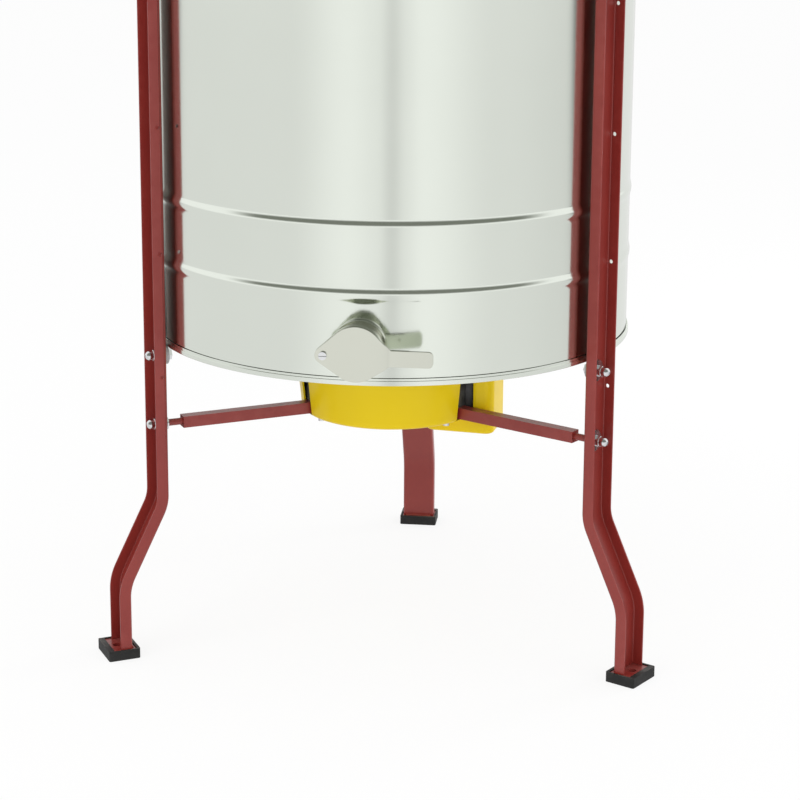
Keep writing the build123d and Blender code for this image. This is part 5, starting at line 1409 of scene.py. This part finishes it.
@dataclass
class Studio:
    """Pale floor, soft light and the camera."""

    floor_size: float = 26.0
    paper: Colour = grey(0.86)
    shadow_share: float = 0.16
    # Painted reflection: tone and place of a dark zone of the room that only mirrored rays see.
    dark_tone: Colour = opaque(0.20, 0.21, 0.185)
    dark_way: Triple = (0.09, -0.95, 0.30)
    dark_facing: tuple[float, float] = (0.15, 0.50)
    dark_height: tuple[float, float] = (0.04, 0.20)
    lamp_target: Triple = (0.0, 0.0, 0.5)
    camera_place: Triple = (0.349516, -2.951271, 1.160174)
    camera_look: Triple = (-0.110350, 0.965836, -0.234485)
    camera_roll: float = 0.34
    camera_shift: float = -0.125
    lens: float = 102.777
    sensor: float = 36.0
    far_limit: float = 100.0

    def seen_directly(self, nodes: Wiring) -> tuple[Socket, Socket]:
        """Whether a ray comes from the camera, and whether it is mirrored or seen through.

        Args:
            nodes: The wiring of the floor or the room.

        Returns:
            The camera ray's value and the mirrored ray's value.
        """
        path = nodes.add("LightPath").outputs
        mirrored = nodes.combine("MAXIMUM", path["Is Glossy Ray"], path["Is Transmission Ray"])
        return path["Is Camera Ray"], mirrored

    def floor_glow(self, nodes: Wiring) -> Socket:
        """Painted reflection: bands of floor brightness that only the steel's mirrored rays see, by the
        direction from the drum.

        Args:
            nodes: The floor's wiring.

        Returns:
            The colour.
        """
        place = nodes.split(nodes.read("TexCoord", "Object"))
        angle = nodes.combine("ARCTAN2", place["X"], nodes.times(place["Y"], -1.0))
        ramp = nodes.add("ValToRGB", {0: nodes.ramp(angle, -math.pi, math.pi, kind="LINEAR")})
        ramp.color_ramp.interpolation = "EASE"
        elements = ramp.color_ramp.elements
        while len(elements) < len(PAINTED_FLOOR_REFLECTION):
            elements.new(0.5)
        for element, (degrees, value) in zip(elements, PAINTED_FLOOR_REFLECTION.items()):
            element.position = (degrees + 180) / 360
            element.color = grey(value)
        return ramp.outputs[0]

    def build_floor(self) -> None:
        """Lay the floor; seen it is nearly white and keeps a faint shadow, and mirrored it shows the
        painted reflection bands.
        """
        Workbench.clear()
        bpy.ops.mesh.primitive_plane_add(size=self.floor_size)
        floor = Workbench.started("studio_floor")
        material = bpy.data.materials.new("floor_paper")
        material.use_nodes = True
        nodes = Wiring(material.node_tree)
        nodes.tree.nodes.remove(nodes.tree.nodes["Principled BSDF"])
        camera_ray, mirrored = self.seen_directly(nodes)
        paper = nodes.add("BsdfDiffuse", {"Color": self.paper}).outputs[0]
        white = nodes.add("Emission", {"Color": WHITE}).outputs[0]
        # Painted reflection: mirrored rays see these floor bands in place of the plain paper.
        glow = nodes.add("Emission", {"Color": self.floor_glow(nodes)}).outputs[0]
        shown = nodes.times(camera_ray, 1.0 - self.shadow_share)
        direct = nodes.add("MixShader", {0: shown, 1: paper, 2: white}).outputs[0]
        surface = nodes.add("MixShader", {0: mirrored, 1: direct, 2: glow}).outputs[0]
        nodes.feed(nodes.tree.nodes["Material Output"], {"Surface": surface})
        floor.data.materials.append(material)

    def build_world(self) -> None:
        """Set the room's light: even for matt surfaces, with a painted reflection darker above the camera
        that only mirrored rays see.
        """
        world = bpy.data.worlds.new("studio_room")
        bpy.context.scene.world = world
        world.use_nodes = True
        nodes = Wiring(world.node_tree)
        camera_ray, mirrored = self.seen_directly(nodes)
        way = nodes.read("TexCoord", "Generated")
        # Painted reflection: a dark zone ahead of the drum and above the camera, seen only by mirrored
        # rays; matt surfaces get plain white light.
        facing = nodes.add("VectorMath", {0: way, 1: self.dark_way}, operation="DOT_PRODUCT")
        ahead = nodes.ramp(facing.outputs["Value"], *self.dark_facing)
        above = nodes.ramp(nodes.split(way)["Z"], *self.dark_height)
        dark = nodes.times(ahead, above)
        tone = nodes.mix(mirrored, WHITE, nodes.mix(dark, WHITE, self.dark_tone))
        nodes.feed(nodes.tree.nodes["Background"], {"Color": nodes.mix(camera_ray, tone, WHITE)})

    def build_camera(self) -> None:
        """Set the camera where the photograph was taken from."""
        look = Vector(self.camera_look).normalized()
        right = look.cross(Vector(ALONG_Z)).normalized()
        up = right.cross(look)
        roll = math.radians(self.camera_roll)
        across = math.cos(roll) * right + math.sin(roll) * up
        above = math.cos(roll) * up - math.sin(roll) * right
        Workbench.clear()
        bpy.ops.object.camera_add()
        camera = bpy.context.object
        camera.name = "photo_camera"
        camera.data.lens = self.lens
        camera.data.sensor_width = self.sensor
        camera.data.shift_y = self.camera_shift
        camera.data.clip_end = self.far_limit
        turn = Matrix((across, above, -look)).transposed().to_4x4()
        camera.matrix_world = Matrix.Translation(self.camera_place) @ turn
        bpy.context.scene.camera = camera

    def build(self) -> None:
        """Build the studio."""
        self.build_floor()
        self.build_world()
        for lamp in LAMPS:
            lamp.hang(self.lamp_target)
        self.build_camera()
        bpy.context.scene.view_settings.view_transform = "Standard"


def main() -> None:
    """Build the machine's looks and the studio."""
    logging.basicConfig(level=logging.INFO, format="%(name)s: %(message)s")
    palette = Palette()
    assemblies = (
        CarriedNodes(palette), Drum(palette), HoneyGate(palette), Legs(palette), LegFasteners(palette),
        DriveUnit(palette), BridgeAndLids(palette), Controls(palette),
    )
    for assembly in assemblies:
        LOG.info("building %s", type(assembly).__name__)
        assembly.build()
    Studio().build()
    Workbench.clear()


if __name__ == "__main__":
    main()
